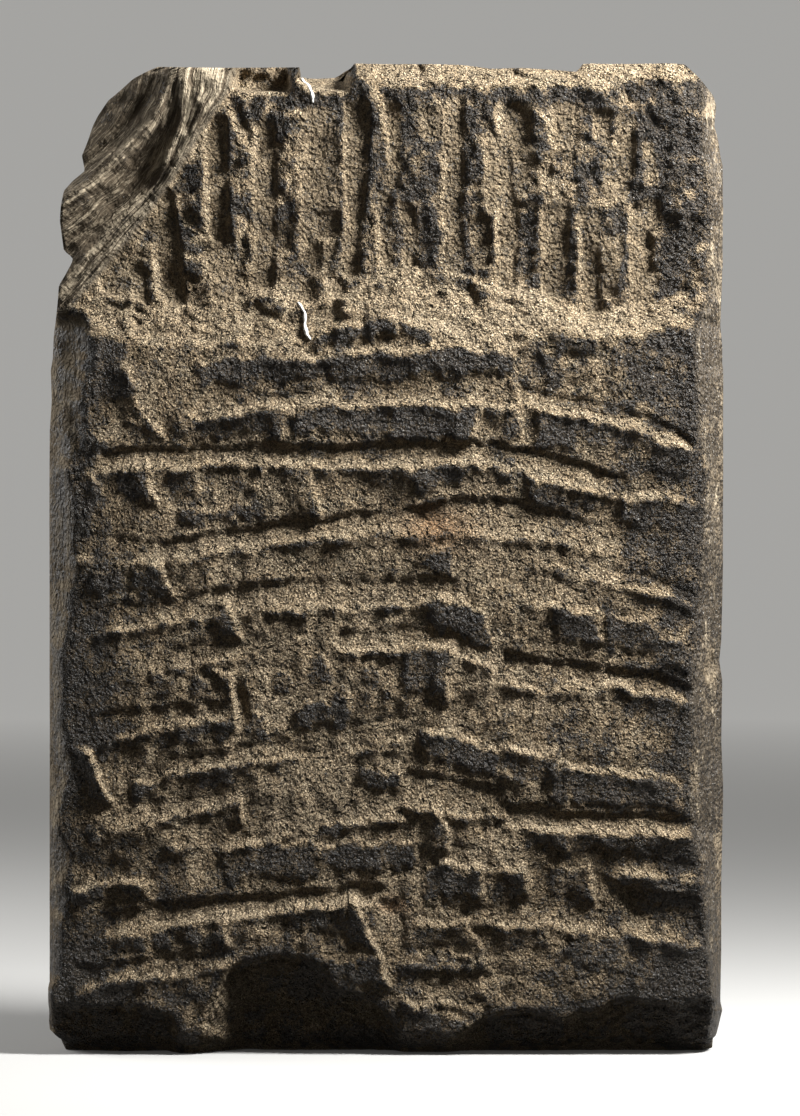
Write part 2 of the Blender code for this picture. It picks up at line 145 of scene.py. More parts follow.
# outline of the slab in pixels of the photograph, across then down

topLine = trail("49,66 160,66 225,67 302,66.5 308,77 330,78 347,77 356,62 400,63 440,63.5 460,64 490,68 "
                "520,67 550,69 572,71 578,66 583,62.5 600,61 640,58.5 676,59 683,62 726,62")
topBehind = trail("49,66 302,66.5 356,64 520,67 560,68 600,62 726,61")
footLine = trail("48,1052 110,1054 175,1055 230,1051 300,1052 360,1049 480,1049 560,1048 660,1050 726,1050")
leftLine = trail("161,58 160,66 150,70 135,78 122,90 110,100 100,115 95,125 90,140 84,155 87,170 75,180 "
                 "66,190 63,205 62,220 66,250 75,257 74,262 67,275 61,285 60,300 58,320 56,335 55,358 "
                 "53,370 54,400 52,430 51,560 50,700 49,775 49,1000 48,1025 60,1037 75,1045 85,1050 "
                 "90,1056")
rightLine = trail("683,58 684,63 700,78 713,95 716,105 714,125 718,140 720,155 724,172 725,190 726,210 "
                  "724,245 722,270 721,300 720,325 722,345 722,365 726,380 726,400 724,440 723,470 724,500 "
                  "722,600 721,640 719,660 722,680 721,740 723,790 721,880 721,950 720,1000 722,1010 "
                  "716,1035 700,1049 698,1056")

# where the face begins to fall away to each side and to the top
leftArris = trail("97,330 88,360 85,400 83,430 72,475 78,500 78,540 83,570 75,590 70,620 67,650 66,680 "
                  "65,720 75,760 62,830 70,850 72,870 68,900 63,930 60,970 58,1000")
rightArris = trail("700,90 700,150 708,200 706,300 692,330 694,400 698,440 704,470 700,560 694,640 688,700 "
                   "690,740 686,790 690,830 700,870 706,950 710,1000")
topArris = trail("49,75 160,72 225,80 242,91 285,92 303,84 308,90 347,90 352,86 366,79 385,82 420,84 "
                 "440,84 480,86 520,86 560,84 575,86 600,92 630,84 660,82 690,92 712,120")

ledgeTop = trail("50,296 75,300 95,297 130,294 150,306 175,308 195,306 215,306 232,304 245,297 262,292 "
                 "278,290 290,299 305,305 330,300 345,296 365,286 383,272 400,269 430,269 455,274 480,279 "
                 "498,290 520,294 545,297 560,304 593,318 612,312 625,303 642,308 665,300 685,294 726,298")
ledgeFoot = trail("50,325 75,330 97,334 112,334 130,338 150,345 175,348 200,347 236,344 262,347 300,348 "
                  "311,341 345,326 365,315 380,310 400,320 425,330 450,336 490,349 520,352 540,342 565,328 "
                  "600,334 640,336 670,322 700,330 726,340")

# upright gouge strokes: depth in mm, pixels over which the top sets in, then down,left,right from top to foot
gouges = [
    (2, 15, "246,102,127 295,96,130"), (1.4, 12, "262,131,149 304,132,153"),
    (2.7, 12, "184,156,177 215,152,179 240,152,182 260,154,184 290,160,187 308,162,191"),
    (2.5, 7, "112,205,227 150,203,229 180,204,231 244,210,232"),
    (1.2, 25, "225,208,233 260,208,236 306,211,239"), (2.4, 14, "114,254,277 168,254,279"),
    (2.1, 20, "150,252,278 293,252,277"),
    (1.1, 20, "100,298,338 150,297,342 200,298,341 240,298,339 274,299,332"),
    (2.2, 10, "130,306,330 166,306,326"), (2.2, 10, "204,312,341 244,312,341"),
    (1.8, 14, "232,306,323 277,306,323"),
    (2, 12, "96,344,373 130,344,371 180,343,368 212,343,367 232,341,362 279,340,361"),
    (1.6, 12, "186,378,393 268,380,394"), (1.8, 10, "98,384,402 190,389,402"),
    (1.6, 14, "196,399,416 225,402,417 270,402,419"), (1.3, 12, "100,418,443 144,420,443"),
    (2.3, 8, "92,444,466 150,442,465 210,442,464 274,440,467"),
    (1.2, 14, "126,482,508 180,484,504 214,484,500"), (1.5, 16, "208,473,492 270,471,494"),
    (1.8, 10, "100,494,534 150,498,530"),
    (2, 14, "136,495,511 180,494,514 215,495,520 250,495,519 293,495,518"),
    (1.2, 10, "146,512,532 198,511,532"), (1.4, 10, "98,548,579 152,550,581"),
    (1.8, 10, "104,591,612 146,593,613"), (1.9, 12, "198,541,571 250,540,569 298,539,566"),
    (1.8, 12, "200,578,601 317,578,603"), (.8, 12, "150,598,630 202,600,630"),
    (1.8, 10, "112,613,636 180,615,636"), (1.5, 10, "138,641,655 186,647,660"),
    (2, 10, "195,642,662 236,640,662"), (2, 12, "196,627,651 308,629,655"),
    (2, 8, "262,646,660 292,647,661"), (1, 12, "228,600,626 300,602,618"),
]

# furrows between the courses: depth in mm, the deep line under one course, the arris of the next
furrows = [
    (2, "240,342 300,344 350,345 385,339 425,337", "240,357 300,351 350,349 425,345"),
    (3.4, "203,386 240,387 292,391 330,384 400,384 440,378 480,373 518,376",
     "203,411 240,406 270,400 300,403 350,398 400,397 480,401 518,402"),
    (4.4, "516,379 550,388 600,397 632,404 690,436",
     "500,398 520,398 560,406 600,413 640,421 660,435 700,447"),
    (5.4, "100,451 150,448 200,445 285,441 340,442 400,440 477,440",
     "100,467 150,463 200,457 290,458 330,461 380,460 415,466 440,458 477,461"),
    (5, "474,438 520,446 560,454 600,466 628,474", "476,460 500,466 540,471 580,481 620,489 650,492"),
    (2, "630,462 660,470 704,478", "620,488 650,490 704,498"),
    (3, "75,528 110,532 165,540", "75,552 120,556 165,552"),
    (5.2, "160,541 200,531 250,525 300,518 350,513 400,510 435,500 470,494 512,497 560,509 606,524",
     "160,556 200,550 250,543 300,536 350,531 400,528 440,528 512,530 560,538 606,548"),
    (4.2, "98,602 165,599 200,588 250,582 283,579 400,578 458,573",
     "88,627 150,619 200,612 250,607 300,604 400,600 458,592"),
    (3.2, "525,580 560,581 580,579", "520,597 560,601 580,606"),
    (3.6, "553,548 600,560 648,571 694,584", "553,566 590,574 640,582 694,600"),
    (3.4, "165,642 205,640 246,634", "160,661 200,658 246,650"),
    (3.8, "336,630 375,627 400,623 450,627 494,646", "336,644 400,642 440,641 494,662"),
    (6, "500,648 550,656 600,665 650,669 692,684", "500,676 550,684 600,688 620,682 650,690 692,700"),
    (4.4, "100,708 160,706 216,698 234,694", "100,736 150,726 200,719 234,712"),
    (3.6, "372,718 400,713 425,712 450,718", "372,737 400,735 425,728 450,727"),
    (2, "450,714 500,723 560,735 620,750 690,770", "440,722 500,741 540,749 600,764 650,777 690,788"),
    (3.8, "160,753 200,751 235,749 250,741 300,736", "160,770 200,764 235,757 300,752"),
    (3.2, "342,724 370,718 404,712", "342,746 404,741"),
    (5.6, "404,764 440,774 508,787", "402,800 440,806 508,812"),
    (2.4, "498,757 536,763", "498,768 536,776"),
    (4, "110,808 155,798 208,790 244,785", "100,822 150,817 200,805 244,797"),
    (3.8, "343,803 375,801 408,796", "343,820 408,812"),
    (3.4, "168,826 215,818 240,817 294,815", "168,843 200,840 250,837 294,829"),
    (5.8, "505,800 530,805 560,808 600,812 650,813 694,816", "505,820 540,824 600,830 650,829 694,829"),
    (6.2, "98,914 150,905 200,898 250,893 300,889 350,883 384,881",
     "88,935 150,924 200,914 250,909 300,905 350,900 384,900"),
    (3.2, "440,840 470,845 525,848", "430,852 460,860 500,864 525,867"),
    (4.8, "606,848 650,854 706,861", "606,866 655,871 706,876"),
    (4.4, "420,900 480,902 550,903 608,906", "410,915 460,917 500,917 560,920 608,927"),
    (7, "622,884 660,890 704,895", "622,928 640,932 704,942"),
    (4.4, "74,962 150,955 200,949 236,944", "66,994 100,980 150,972 200,966 236,962"),
    (3, "402,945 440,948 474,947", "402,955 430,960 474,959"),
    (3.4, "402,977 440,982 477,978", "395,991 420,998 477,1001"),
    (3, "75,866 110,860 155,858", "70,888 100,880 155,876"),
    (2.2, "60,445 84,440 108,424", "60,462 84,456 108,432"),
]

# proud worn blocks: left, top, right, foot, fall of the top to the right, height in mm, how bare and dark
blocks = table(7,
    "196 358 332 384 -.04 2 1  328 350 440 380 -.03 2.2 .9  425 342 518 368 .1 2.2 1 "
    "545 352 600 378 .1 1.2 .5  612 345 690 390 .12 1 .35  94 338 128 396 0 1.4 .8  86 400 112 418 0 1 .6 "
    "82 432 110 448 0 1.2 .9  130 420 170 440 .1 1 .5  178 412 202 436 0 1 .6  206 408 284 436 -.1 1.8 .8 "
    "296 402 392 434 0 2.2 .85  388 400 480 438 .02 2.6 1  508 405 524 440 0 1.4 .7 "
    "538 406 578 446 .12 2 .9  580 414 640 442 .12 1.6 .7  645 440 694 470 .15 1 .5 "
    "74 482 104 514 0 1.4 .9  120 470 152 494 0 1.6 .8  172 464 202 490 0 1.2 .7  236 466 246 486 0 .8 .6 "
    "292 462 310 474 0 1 .6  372 462 420 486 0 .8 .4  418 462 466 490 -.05 2.2 .9  528 474 566 500 .2 2 .8 "
    "570 482 602 504 .2 2.2 .8  620 494 662 522 .1 2 .9  664 498 700 530 .1 1 .6 "
    "178 512 264 524 -.12 1.4 .8  628 545 650 565 0 .8 .6  530 566 562 578 0 1.4 .7 "
    "94 570 122 592 -.2 1.8 .9  132 566 168 592 0 1.8 .9  100 598 112 610 0 .6 .6  414 548 452 570 .1 2 .8 "
    "586 574 600 590 0 1 .5  640 590 672 606 0 .8 .5  552 606 602 640 .1 2.2 .95  604 618 652 648 .1 2 .8 "
    "652 634 686 665 .1 1.6 .8  436 594 494 632 .28 2.8 1  195 618 226 640 0 .8 .4 "
    "405 645 452 690 0 2.4 .75  152 674 178 697 0 1.3 .5  196 676 216 698 0 1.4 .7 "
    "205 658 226 680 0 1.2 .7  272 672 292 692 0 1.2 .6  312 655 331 684 0 1.4 .7  342 650 360 668 0 1 .5 "
    "364 664 384 684 0 1.2 .6  240 650 262 662 0 .8 .5  178 724 236 745 -.12 1.8 .95 "
    "248 710 272 735 0 1.4 .85  298 702 350 728 -.1 2.2 1  345 690 374 712 0 1.2 .5 "
    "120 734 150 752 0 .8 .4  384 688 402 704 0 .8 .5  420 732 500 760 .2 2.4 .95 "
    "502 744 560 776 .15 1.6 .6  548 766 684 802 .06 2.6 .9  204 764 234 782 0 1.4 .9 "
    "134 780 162 799 0 1.8 1  356 772 402 790 0 2 .8  248 757 262 780 0 .8 .6  90 772 110 800 0 1 .7 "
    "110 770 128 790 0 .6 .5  320 824 342 842 0 1.8 1  224 846 322 882 -.03 2.2 .75 "
    "320 846 424 874 -.07 2.4 .95  528 830 568 850 0 1.8 .85  570 832 622 850 0 1.6 .8 "
    "624 831 672 850 0 1.6 .6  676 830 696 856 0 1.2 .5  84 830 112 850 0 1 .7  126 828 146 848 0 .8 .5 "
    "420 866 480 894 .1 2 .8  500 866 528 896 0 1.6 .8  548 866 592 898 0 1.6 .6 "
    "622 868 652 884 .1 1.6 .7  650 882 700 905 .1 2 .9  72 890 102 904 -.1 1.8 1 "
    "118 880 146 900 0 1.8 .8  114 936 148 950 0 1.4 1  152 932 172 947 0 1.4 .9  178 926 224 945 0 1.6 .9 "
    "290 908 350 936 -.05 1.8 .75  348 906 374 940 .3 1.8 .9  232 925 262 940 0 .8 .4 "
    "566 930 624 966 .1 1.6 .7  636 938 708 1000 .05 1.4 .85  404 956 474 974 0 1.6 .8 "
    "72 986 134 1008 -.1 1.6 1  262 934 322 950 .05 1.2 .5  312 955 352 972 .2 1.2 .8 "
    "352 948 384 984 .3 1.8 .8  134 978 202 1000 -.1 1.2 .6  405 918 470 943 0 1.4 .5 "
    "500 922 552 944 .1 1.2 .5  400 1000 470 1038 .3 1.4 .8  486 1003 560 1012 0 1 .6 "
    "200 310 232 326 -.05 2.8 .8  340 328 400 344 -.2 2.4 1  368 312 398 336 0 2.4 1 "
    "398 316 430 334 .3 1.6 .9  556 332 598 352 .1 1.8 .9  312 338 346 348 -.3 1.2 .9 "
    "140 342 200 350 0 .8 .4  650 322 700 345 .1 1.6 .8  448 316 470 334 .8 .8 .6")

# scarps: a line running down, height in mm by which its left side stands proud, reach to the left in pixels
scarps = [
    ("150,463 157,506", 1.8, 26), ("306,466 314,490 322,516", 2, 30), ("164,566 175,593", 1.6, 24),
    ("228,600 245,636", 2, 26), ("88,750 100,770 112,802", 2.6, 18), ("436,808 447,822 450,852", 2, 26),
    ("355,900 366,925 376,946 390,985", 2.2, 24), ("243,796 244,822", 1.6, 24),
    ("480,864 480,898", 1.8, 22), ("590,862 592,900", 1.6, 22), ("451,645 451,702", 2.2, 26),
    ("482,402 480,420 474,442", 2.4, 30), ("232,672 234,726", 2.2, 20),
    ("126,366 136,395 150,420 170,438", 1.1, 22), ("226,914 229,946", 1.4, 18),
    ("145,876 150,900", 1.2, 18), ("466,920 484,950 490,975", 1.4, 20), ("234,304 237,342", 2, 24),
    ("284,404 281,440", 1.2, 18), ("518,380 520,408", 1.2, 16), ("604,668 608,700", .8, 16),
    ("524,868 526,898", 1.2, 16), ("566,828 567,852", 1.2, 16), ("92,476 97,494", 1.2, 14),
    ("196,464 200,492", 1, 16), ("444,952 482,962 481,998", 1.2, 20),
]

# crests: raised edges between broken facets: ends, height in mm, half width in pixels
crests = table(6,
    "235 312 300 346 1.6 9  262 293 296 312 1.8 8  296 312 312 338 1.2 8  383 278 352 312 1.8 9 "
    "352 312 318 336 1.2 9  400 286 450 300 1.2 9  448 298 492 344 1.3 12  470 282 520 330 .9 12 "
    "520 330 600 322 1 9  590 330 660 344 1.2 8  150 296 210 312 1 8  100 318 160 330 .8 8 "
    "640 330 700 300 1.2 9  527 88 534 130 2.2 9  534 130 545 200 2.2 9  545 200 540 262 1.8 8 "
    "372 84 378 130 1.6 8  440 92 446 140 1.6 7  668 100 690 290 1.2 9  612 250 622 300 1.6 9 "
    "232 130 236 250 1 8  300 130 298 250 1.4 8  340 130 344 250 1.6 8  181 200 184 260 .8 7 "
    "424 160 430 262 1.6 10  128 366 150 420 1.2 7  395 985 420 997 1.4 8  420 997 456 1022 1.8 8 "
    "700 345 690 460 1.2 8  96 336 84 420 1.6 8")

# pits: centre, half sizes in pixels, depth in mm
pits = table(5,
    "76 352 13 24 6  78 428 9 22 4.5  74 390 10 16 3  715 490 6 34 4.5  708 665 6 16 4  240 700 8 24 2.5 "
    "518 118 16 16 2.5  647 243 10 9 2.5  640 902 17 24 2  705 285 9 9 2  600 870 12 20 1.2 "
    "116 868 16 12 1.5  430 515 16 10 1.2  388 905 12 8 1.5")

# flake scars along the foot: upper edge, depth in mm at the foot, pixels over which each end sets in
flakes = [
    ("10,1000 60,1004 78,1004 110,1006 150,1005 172,1012 184,1040", 14, 9, 14),
    ("192,1040 212,1000 230,974 245,962 272,952 300,954 318,963 345,985 385,1008 406,1042", 17, 60, 14),
    ("440,1044 460,1034 485,1018 500,1010 530,1008 560,1016 580,1010 600,1004 620,1001 770,1000",
     16, 34, 9),
]

# the broken corner: its lower edge and two long ridges behind it, as lines running down
fractureEdge = trail("236,62 228,92 205,127 190,152 175,177 150,212 125,245 100,275 62,318")
nearRidge = trail("186,62 184,90 180,115 175,140 167,165 154,188 134,208 117,225 101,240 80,262 30,318")
farRidge = trail("176,62 165,98 150,124 130,147 108,168 86,186 62,202 -120,318")
# mm behind the lower edge, by place: 0 is that edge, 1 the near ridge, 2 the far one, 3 forty pixels further
fractureProfile = trail("-.5,0 0,0 .3,.7 .5,.2 .7,1.6 .85,.3 1,.6 1.1,3 1.25,5.6 1.42,5 1.6,5.8 1.78,4.2 "
                        "1.88,1.8 2,1.4 2.1,1.6 2.25,4.2 2.5,7.6 2.8,7.4 3.2,10 4,16 6,26")

# patches of bare dark stone on the upper part and the ledge: centre, half sizes
barePatches = table(4,
    "208 74 20 9  262 98 40 7  262 115 28 9  190 182 11 15  191 238 10 14  239 214 8 13  288 228 13 18 "
    "286 130 12 9  330 108 14 16  357 104 13 14  376 76 12 8  318 148 13 7  325 215 14 12  232 160 9 22 "
    "372 160 6 26  405 112 10 10  412 132 8 10  426 175 12 16  430 225 11 18  478 92 28 6  515 122 17 18 "
    "536 96 14 7  540 136 7 9  568 126 13 19  594 122 10 18  600 178 9 18  585 178 8 12  640 92 18 12 "
    "660 130 14 26  654 180 12 26  690 96 18 14  706 112 8 16  532 225 8 24  569 252 6 18  612 226 12 20 "
    "622 262 10 14  660 275 9 24  470 205 6 18  446 128 6 16  680 160 10 12  700 290 12 8  722 170 5 30 "
    "300 262 8 12  276 258 6 12  250 170 5 16  344 190 6 20  388 240 5 14  120 300 14 5  100 262 10 10 "
    "160 220 6 12  152 160 8 14  120 196 22 16  150 110 12 16  112 120 10 12  70 200 9 18  70 242 8 12 "
    "410 280 14 5  540 285 10 6  620 325 16 5  480 310 8 8")

panelValues = dict(
    upperRecess=11.5,     # mm from the front plane back to the grooved ground
    lowerGround=3.0,      # mm back to the ground between the courses
    furrowDepth=0.60,     # share of the depths listed for the furrows
    blockHeight=0.60,     # share of the heights listed for the worn blocks
    sideFall=17.0,        # mm by which the face falls back at its side outlines
    upperSideFall=12.0,   # the same beside the grooved ground
    topFall=8.0,          # the same along the top
    footFall=10.0,        # and at the foot
    fractureStart=8.5,    # mm back to the lower edge of the broken corner
    pocketDepth=17.0,     # mm from front to back of the pocket in the top
    notchDepth=32.0,      # mm of the sloping floor of the notch
    unevenness=1.25,      # mm of broad unevenness of the ground
    chipHeight=0.65,      # mm of broken facets
    peckDepth=0.55,       # mm of pick marks on the ground
    grainHeight=0.75,     # mm of the leaning grain
    lipHeight=1.1,        # mm of the lip at the lower edge of a furrow
    scarpHeight=1.25,     # share of the heights listed for the scarps
    crestHeight=0.42,     # the same for the crests
    pitDepth=0.70,        # share of the depths listed for the pits
    gougeDepth=0.95,      # the same for the gouge strokes
    sweptWearAndShade=0.55,       # how much dark stone shows in a stroke, with browner dust, partly as painted shade in the groove
    rimBare=0.75,         # the same just below the top edge
    darkerLeft=0.48,      # how much darker the colour is made towards the left side
    darkerRight=0.52,     # towards the right side
    darkerFoot=0.42,      # and towards the foot
    lighterMiddle=0.75,      # how much lighter it is made in the middle of the lower part
    ledgeDust=0.50,       # and on the ledge
)


def inOval(x, y, middleX, middleY, halfX, halfY):  # 1.3 in the middle, 0.3 on the border, less outside
    return 1.3 - np.hypot((x - middleX) / halfX, (y - middleY) / halfY)


def carveFurrows(x, y, ground):
    # a trough: steep wall above the deep line, then a slope that steepens up to the arris of the next course
    lift = np.zeros_like(x)
    uneven = np.clip(0.75 + 0.5 * fractal(x, y * 0.5, 26, 3, 19), 0.1, 1.4)
    fringe = np.abs(fractal(x + 0.1 * y, y * 0.22, 9, 2, 31))
    for deep, deepLine, arris in furrows:
        deepLine, arris = trail(deepLine), trail(arris)
        start, stop = deepLine[0][0], deepLine[0][-1]
        top = lineAt(deepLine, x) + 4
        foot = lineAt(arris, x) + 7 + 2.2 * fractal(x, x * 0, 13, 3, 17, deepLine[1][0])
        ends = smooth((x - start + 7) / 13) * smooth((stop + 7 - x) / 13)
        share = np.clip((y - top) / np.maximum(foot - top, 7), 0, 1)
        slope = 1 - 0.34 * share - 0.66 * share ** 5
        wall = smooth(1 + (y - top) / 6.0)
        cut = deep * panelValues["furrowDepth"] * ends * np.where(y >= top, slope, wall)
        cut = cut * (0.8 + 0.2 * uneven) * (1 - 0.3 * fringe * share)
        ground = np.where(cut > 0.02, np.maximum(ground, cut + 0.5 * ground), ground)
        below = 0.8 * smooth((y - foot + 6) / 6) * np.exp(-np.maximum(y - foot, 0) / 26)
        lip = np.exp(-((y - foot - 1.5) / 4.0) ** 2) + below
        lift = np.maximum(lift, ends * lip * uneven)
    return ground - panelValues["lipHeight"] * lift


def raiseBlocks(x, y, ground, bareAndShading):
    # a block is the inside of a leaning box with a ragged border; more dark stone shows on it
    ragged = 3.0 * fractal(x, y, 15, 3, 77) + 2.4 * fractal(x, y * 0.5, 7, 2, 81)
    for left, top, right, foot, fall, height, dark in blocks:
        level = y - fall * (x - left)
        inside = np.minimum(np.minimum(x - left, right - x), np.minimum(level - top, foot - level))
        mask = smooth((inside + ragged + 1.0) / 4.0)
        mask = mask * (1 - 0.35 * smooth((level - top) / (foot - top)))
        ground = ground - height * panelValues["blockHeight"] * mask
        bareAndShading = np.maximum(bareAndShading, 0.9 * dark * smooth((inside + 2.2 * ragged + 1.0) / 5.0))
    return ground, bareAndShading


def raiseScarps(x, y, ground):
    # the left side stands proud of the line and sinks back over its reach; the right side drops at once
    for points, height, reach in scarps:
        points = trail(points)
        edge = lineBeside(points, y)
        ends = smooth((y - points[1][0] + 6) / 10) * smooth((points[1][-1] + 6 - y) / 10)
        left = np.clip(1 + (x - edge) / reach, 0, 1) * smooth((edge + 3.5 - x) / 4.5)
        ground = ground - panelValues["scarpHeight"] * height * left * ends
    return ground


def cutFlakes(x, y):
    # shell-shaped scars: they fall away quickly below their upper edge, then flatten towards the foot
    depth = np.zeros_like(x)
    for edge, deep, softLeft, softRight in flakes:
        edge = trail(edge)
        below = y - lineAt(edge, x) + 6 * fractal(x, x * 0, 26, 3, 83, deep)
        ends = smooth((x - edge[0][0]) / softLeft) * smooth((edge[0][-1] - x) / softRight)
        shell = 0.25 * smooth(below / 5) + 0.75 * np.clip(below / 62, 0, 1) ** 0.9
        depth = np.maximum(depth, deep * ends * shell)
    return depth


def cutGouges(x, y):
    # a stroke lies between its two lines: a leaning flank on the left, a floor, an upright wall on the right,
    # a rounded foot. Gives its depth, and how far each place lies inside a stroke
    cut, tooled = np.zeros_like(x), np.zeros_like(x)
    for deep, fade, sides in gouges:
        downs, lefts, rights = trail(sides)
        top, foot = downs[0], downs[-1]
        left, right = np.interp(y, downs, lefts), np.interp(y, downs, rights)
        half = (right - left) / 2
        rounding = 0.6 * half * np.clip(np.abs(x - right + 0.9 * half) / half, 0, 1.2) ** 2.5
        run = smooth((y - top) / fade) * smooth((foot - rounding - y) / 4.5)
        within = smooth((x - left + 1) / (0.5 * half)) * smooth((right + 1 - x) / 3.5)
        chatter = 1 + 0.07 * np.sin((y + 2.0 * fractal(x, y, 20, 2, 57)) * 1.1)
        cut = np.maximum(cut, panelValues["gougeDepth"] * deep * chatter * run * within)
        tooled = np.maximum(tooled, run * within * min(1.0, deep / 1.4))
    return cut, tooled


def breakCorner(x, y, face):
    # behind its slanting lower edge the corner falls back in hollows between long ridges, spread like a fan
    edge = lineBeside(fractureEdge, y)
    behind, near, far = edge - x, edge - lineBeside(nearRidge, y), edge - lineBeside(farRidge, y)
    fan = np.where(behind < near, behind / near, 1 + (behind - near) / (far - near))
    fan = np.where(behind < far, fan, 2 + (behind - far) / 40)
    bend = fan + 0.07 * fractal(x, y, 52, 2, 69) + 0.03 * fractal(x, y, 12, 2, 73)
    threads = np.abs(fractal(y / 6.0, bend * 30, 12, 2, 61))
    facets = 1.5 * chips(y / 3.2, bend * 30, 11, 67) + 0.8 * chips(y / 2.0, bend * 30, 6, 68)
    fall = lineAt(fractureProfile, bend)
    fall = np.where(bend < 2, fall * np.clip((far - near) / 45, 0.2, 1), fall)
    fall, sunk = 1.25 * fall, np.clip(fall / 4.5, 0, 1)
    broken = panelValues["fractureStart"] + fall + facets + 1.1 * np.clip(threads, 0, 1)
    share = smooth((behind * 0.81 + 3) / 5) * smooth((326 - y - 0.12 * x) / 12)
    return face * (1 - share) + broken * share, share, fan + 0.03 * fractal(x, y, 18, 3, 65), sunk * share


def fallToEdges(x, y, face, corner):
    # the face falls back from each arris to the outline; the pocket and the notch are cut into the top
    v = panelValues
    wave = 4.0 * fractal(x, y, 26, 3, 91)
    lower = smooth((y - 312) / 14)
    sideFall = v["upperSideFall"] + (v["sideFall"] - v["upperSideFall"]) * lower
    left, right = lineBeside(leftLine, y), lineBeside(rightLine, y)
    leftEdge, rightEdge = lineBeside(leftArris, y) + wave, lineBeside(rightArris, y) + 0.5 * wave
    outside = np.clip((leftEdge - x) / np.maximum(leftEdge - left, 8), 0, 1)
    face = face + sideFall * outside ** 1.25 * lower
    outside = np.clip((x - rightEdge) / np.maximum(right - rightEdge, 8), 0, 1)
    face = face + sideFall * outside ** 1.25
    top, topEdge = lineAt(topLine, x), lineAt(topArris, x) + 0.4 * wave
    above = np.clip((topEdge - y) / np.maximum(topEdge - top, 4), 0, 1)
    inNotch = smooth((x - 306) / 3) * smooth((351 - x) / 5)
    inPocket = smooth((x - 233) / 7) * smooth((294 - x) / 7)
    plain = v["topFall"] * above ** 1.15 * (1 - inNotch) * (1 - inPocket) * (1 - 0.75 * corner)
    plain = plain * np.where(x < 300, 0.25, 1.0) + 1.6 * smooth(above * 3) * chips(x, y * 1.6, 17, 613)
    pocket = inPocket * v["pocketDepth"] * smooth(above * 7)
    notch = inNotch * v["notchDepth"] * above
    face = face + plain + pocket + notch
    return face + v["footFall"] * np.clip((y - 1030) / 20, 0, 1) ** 2


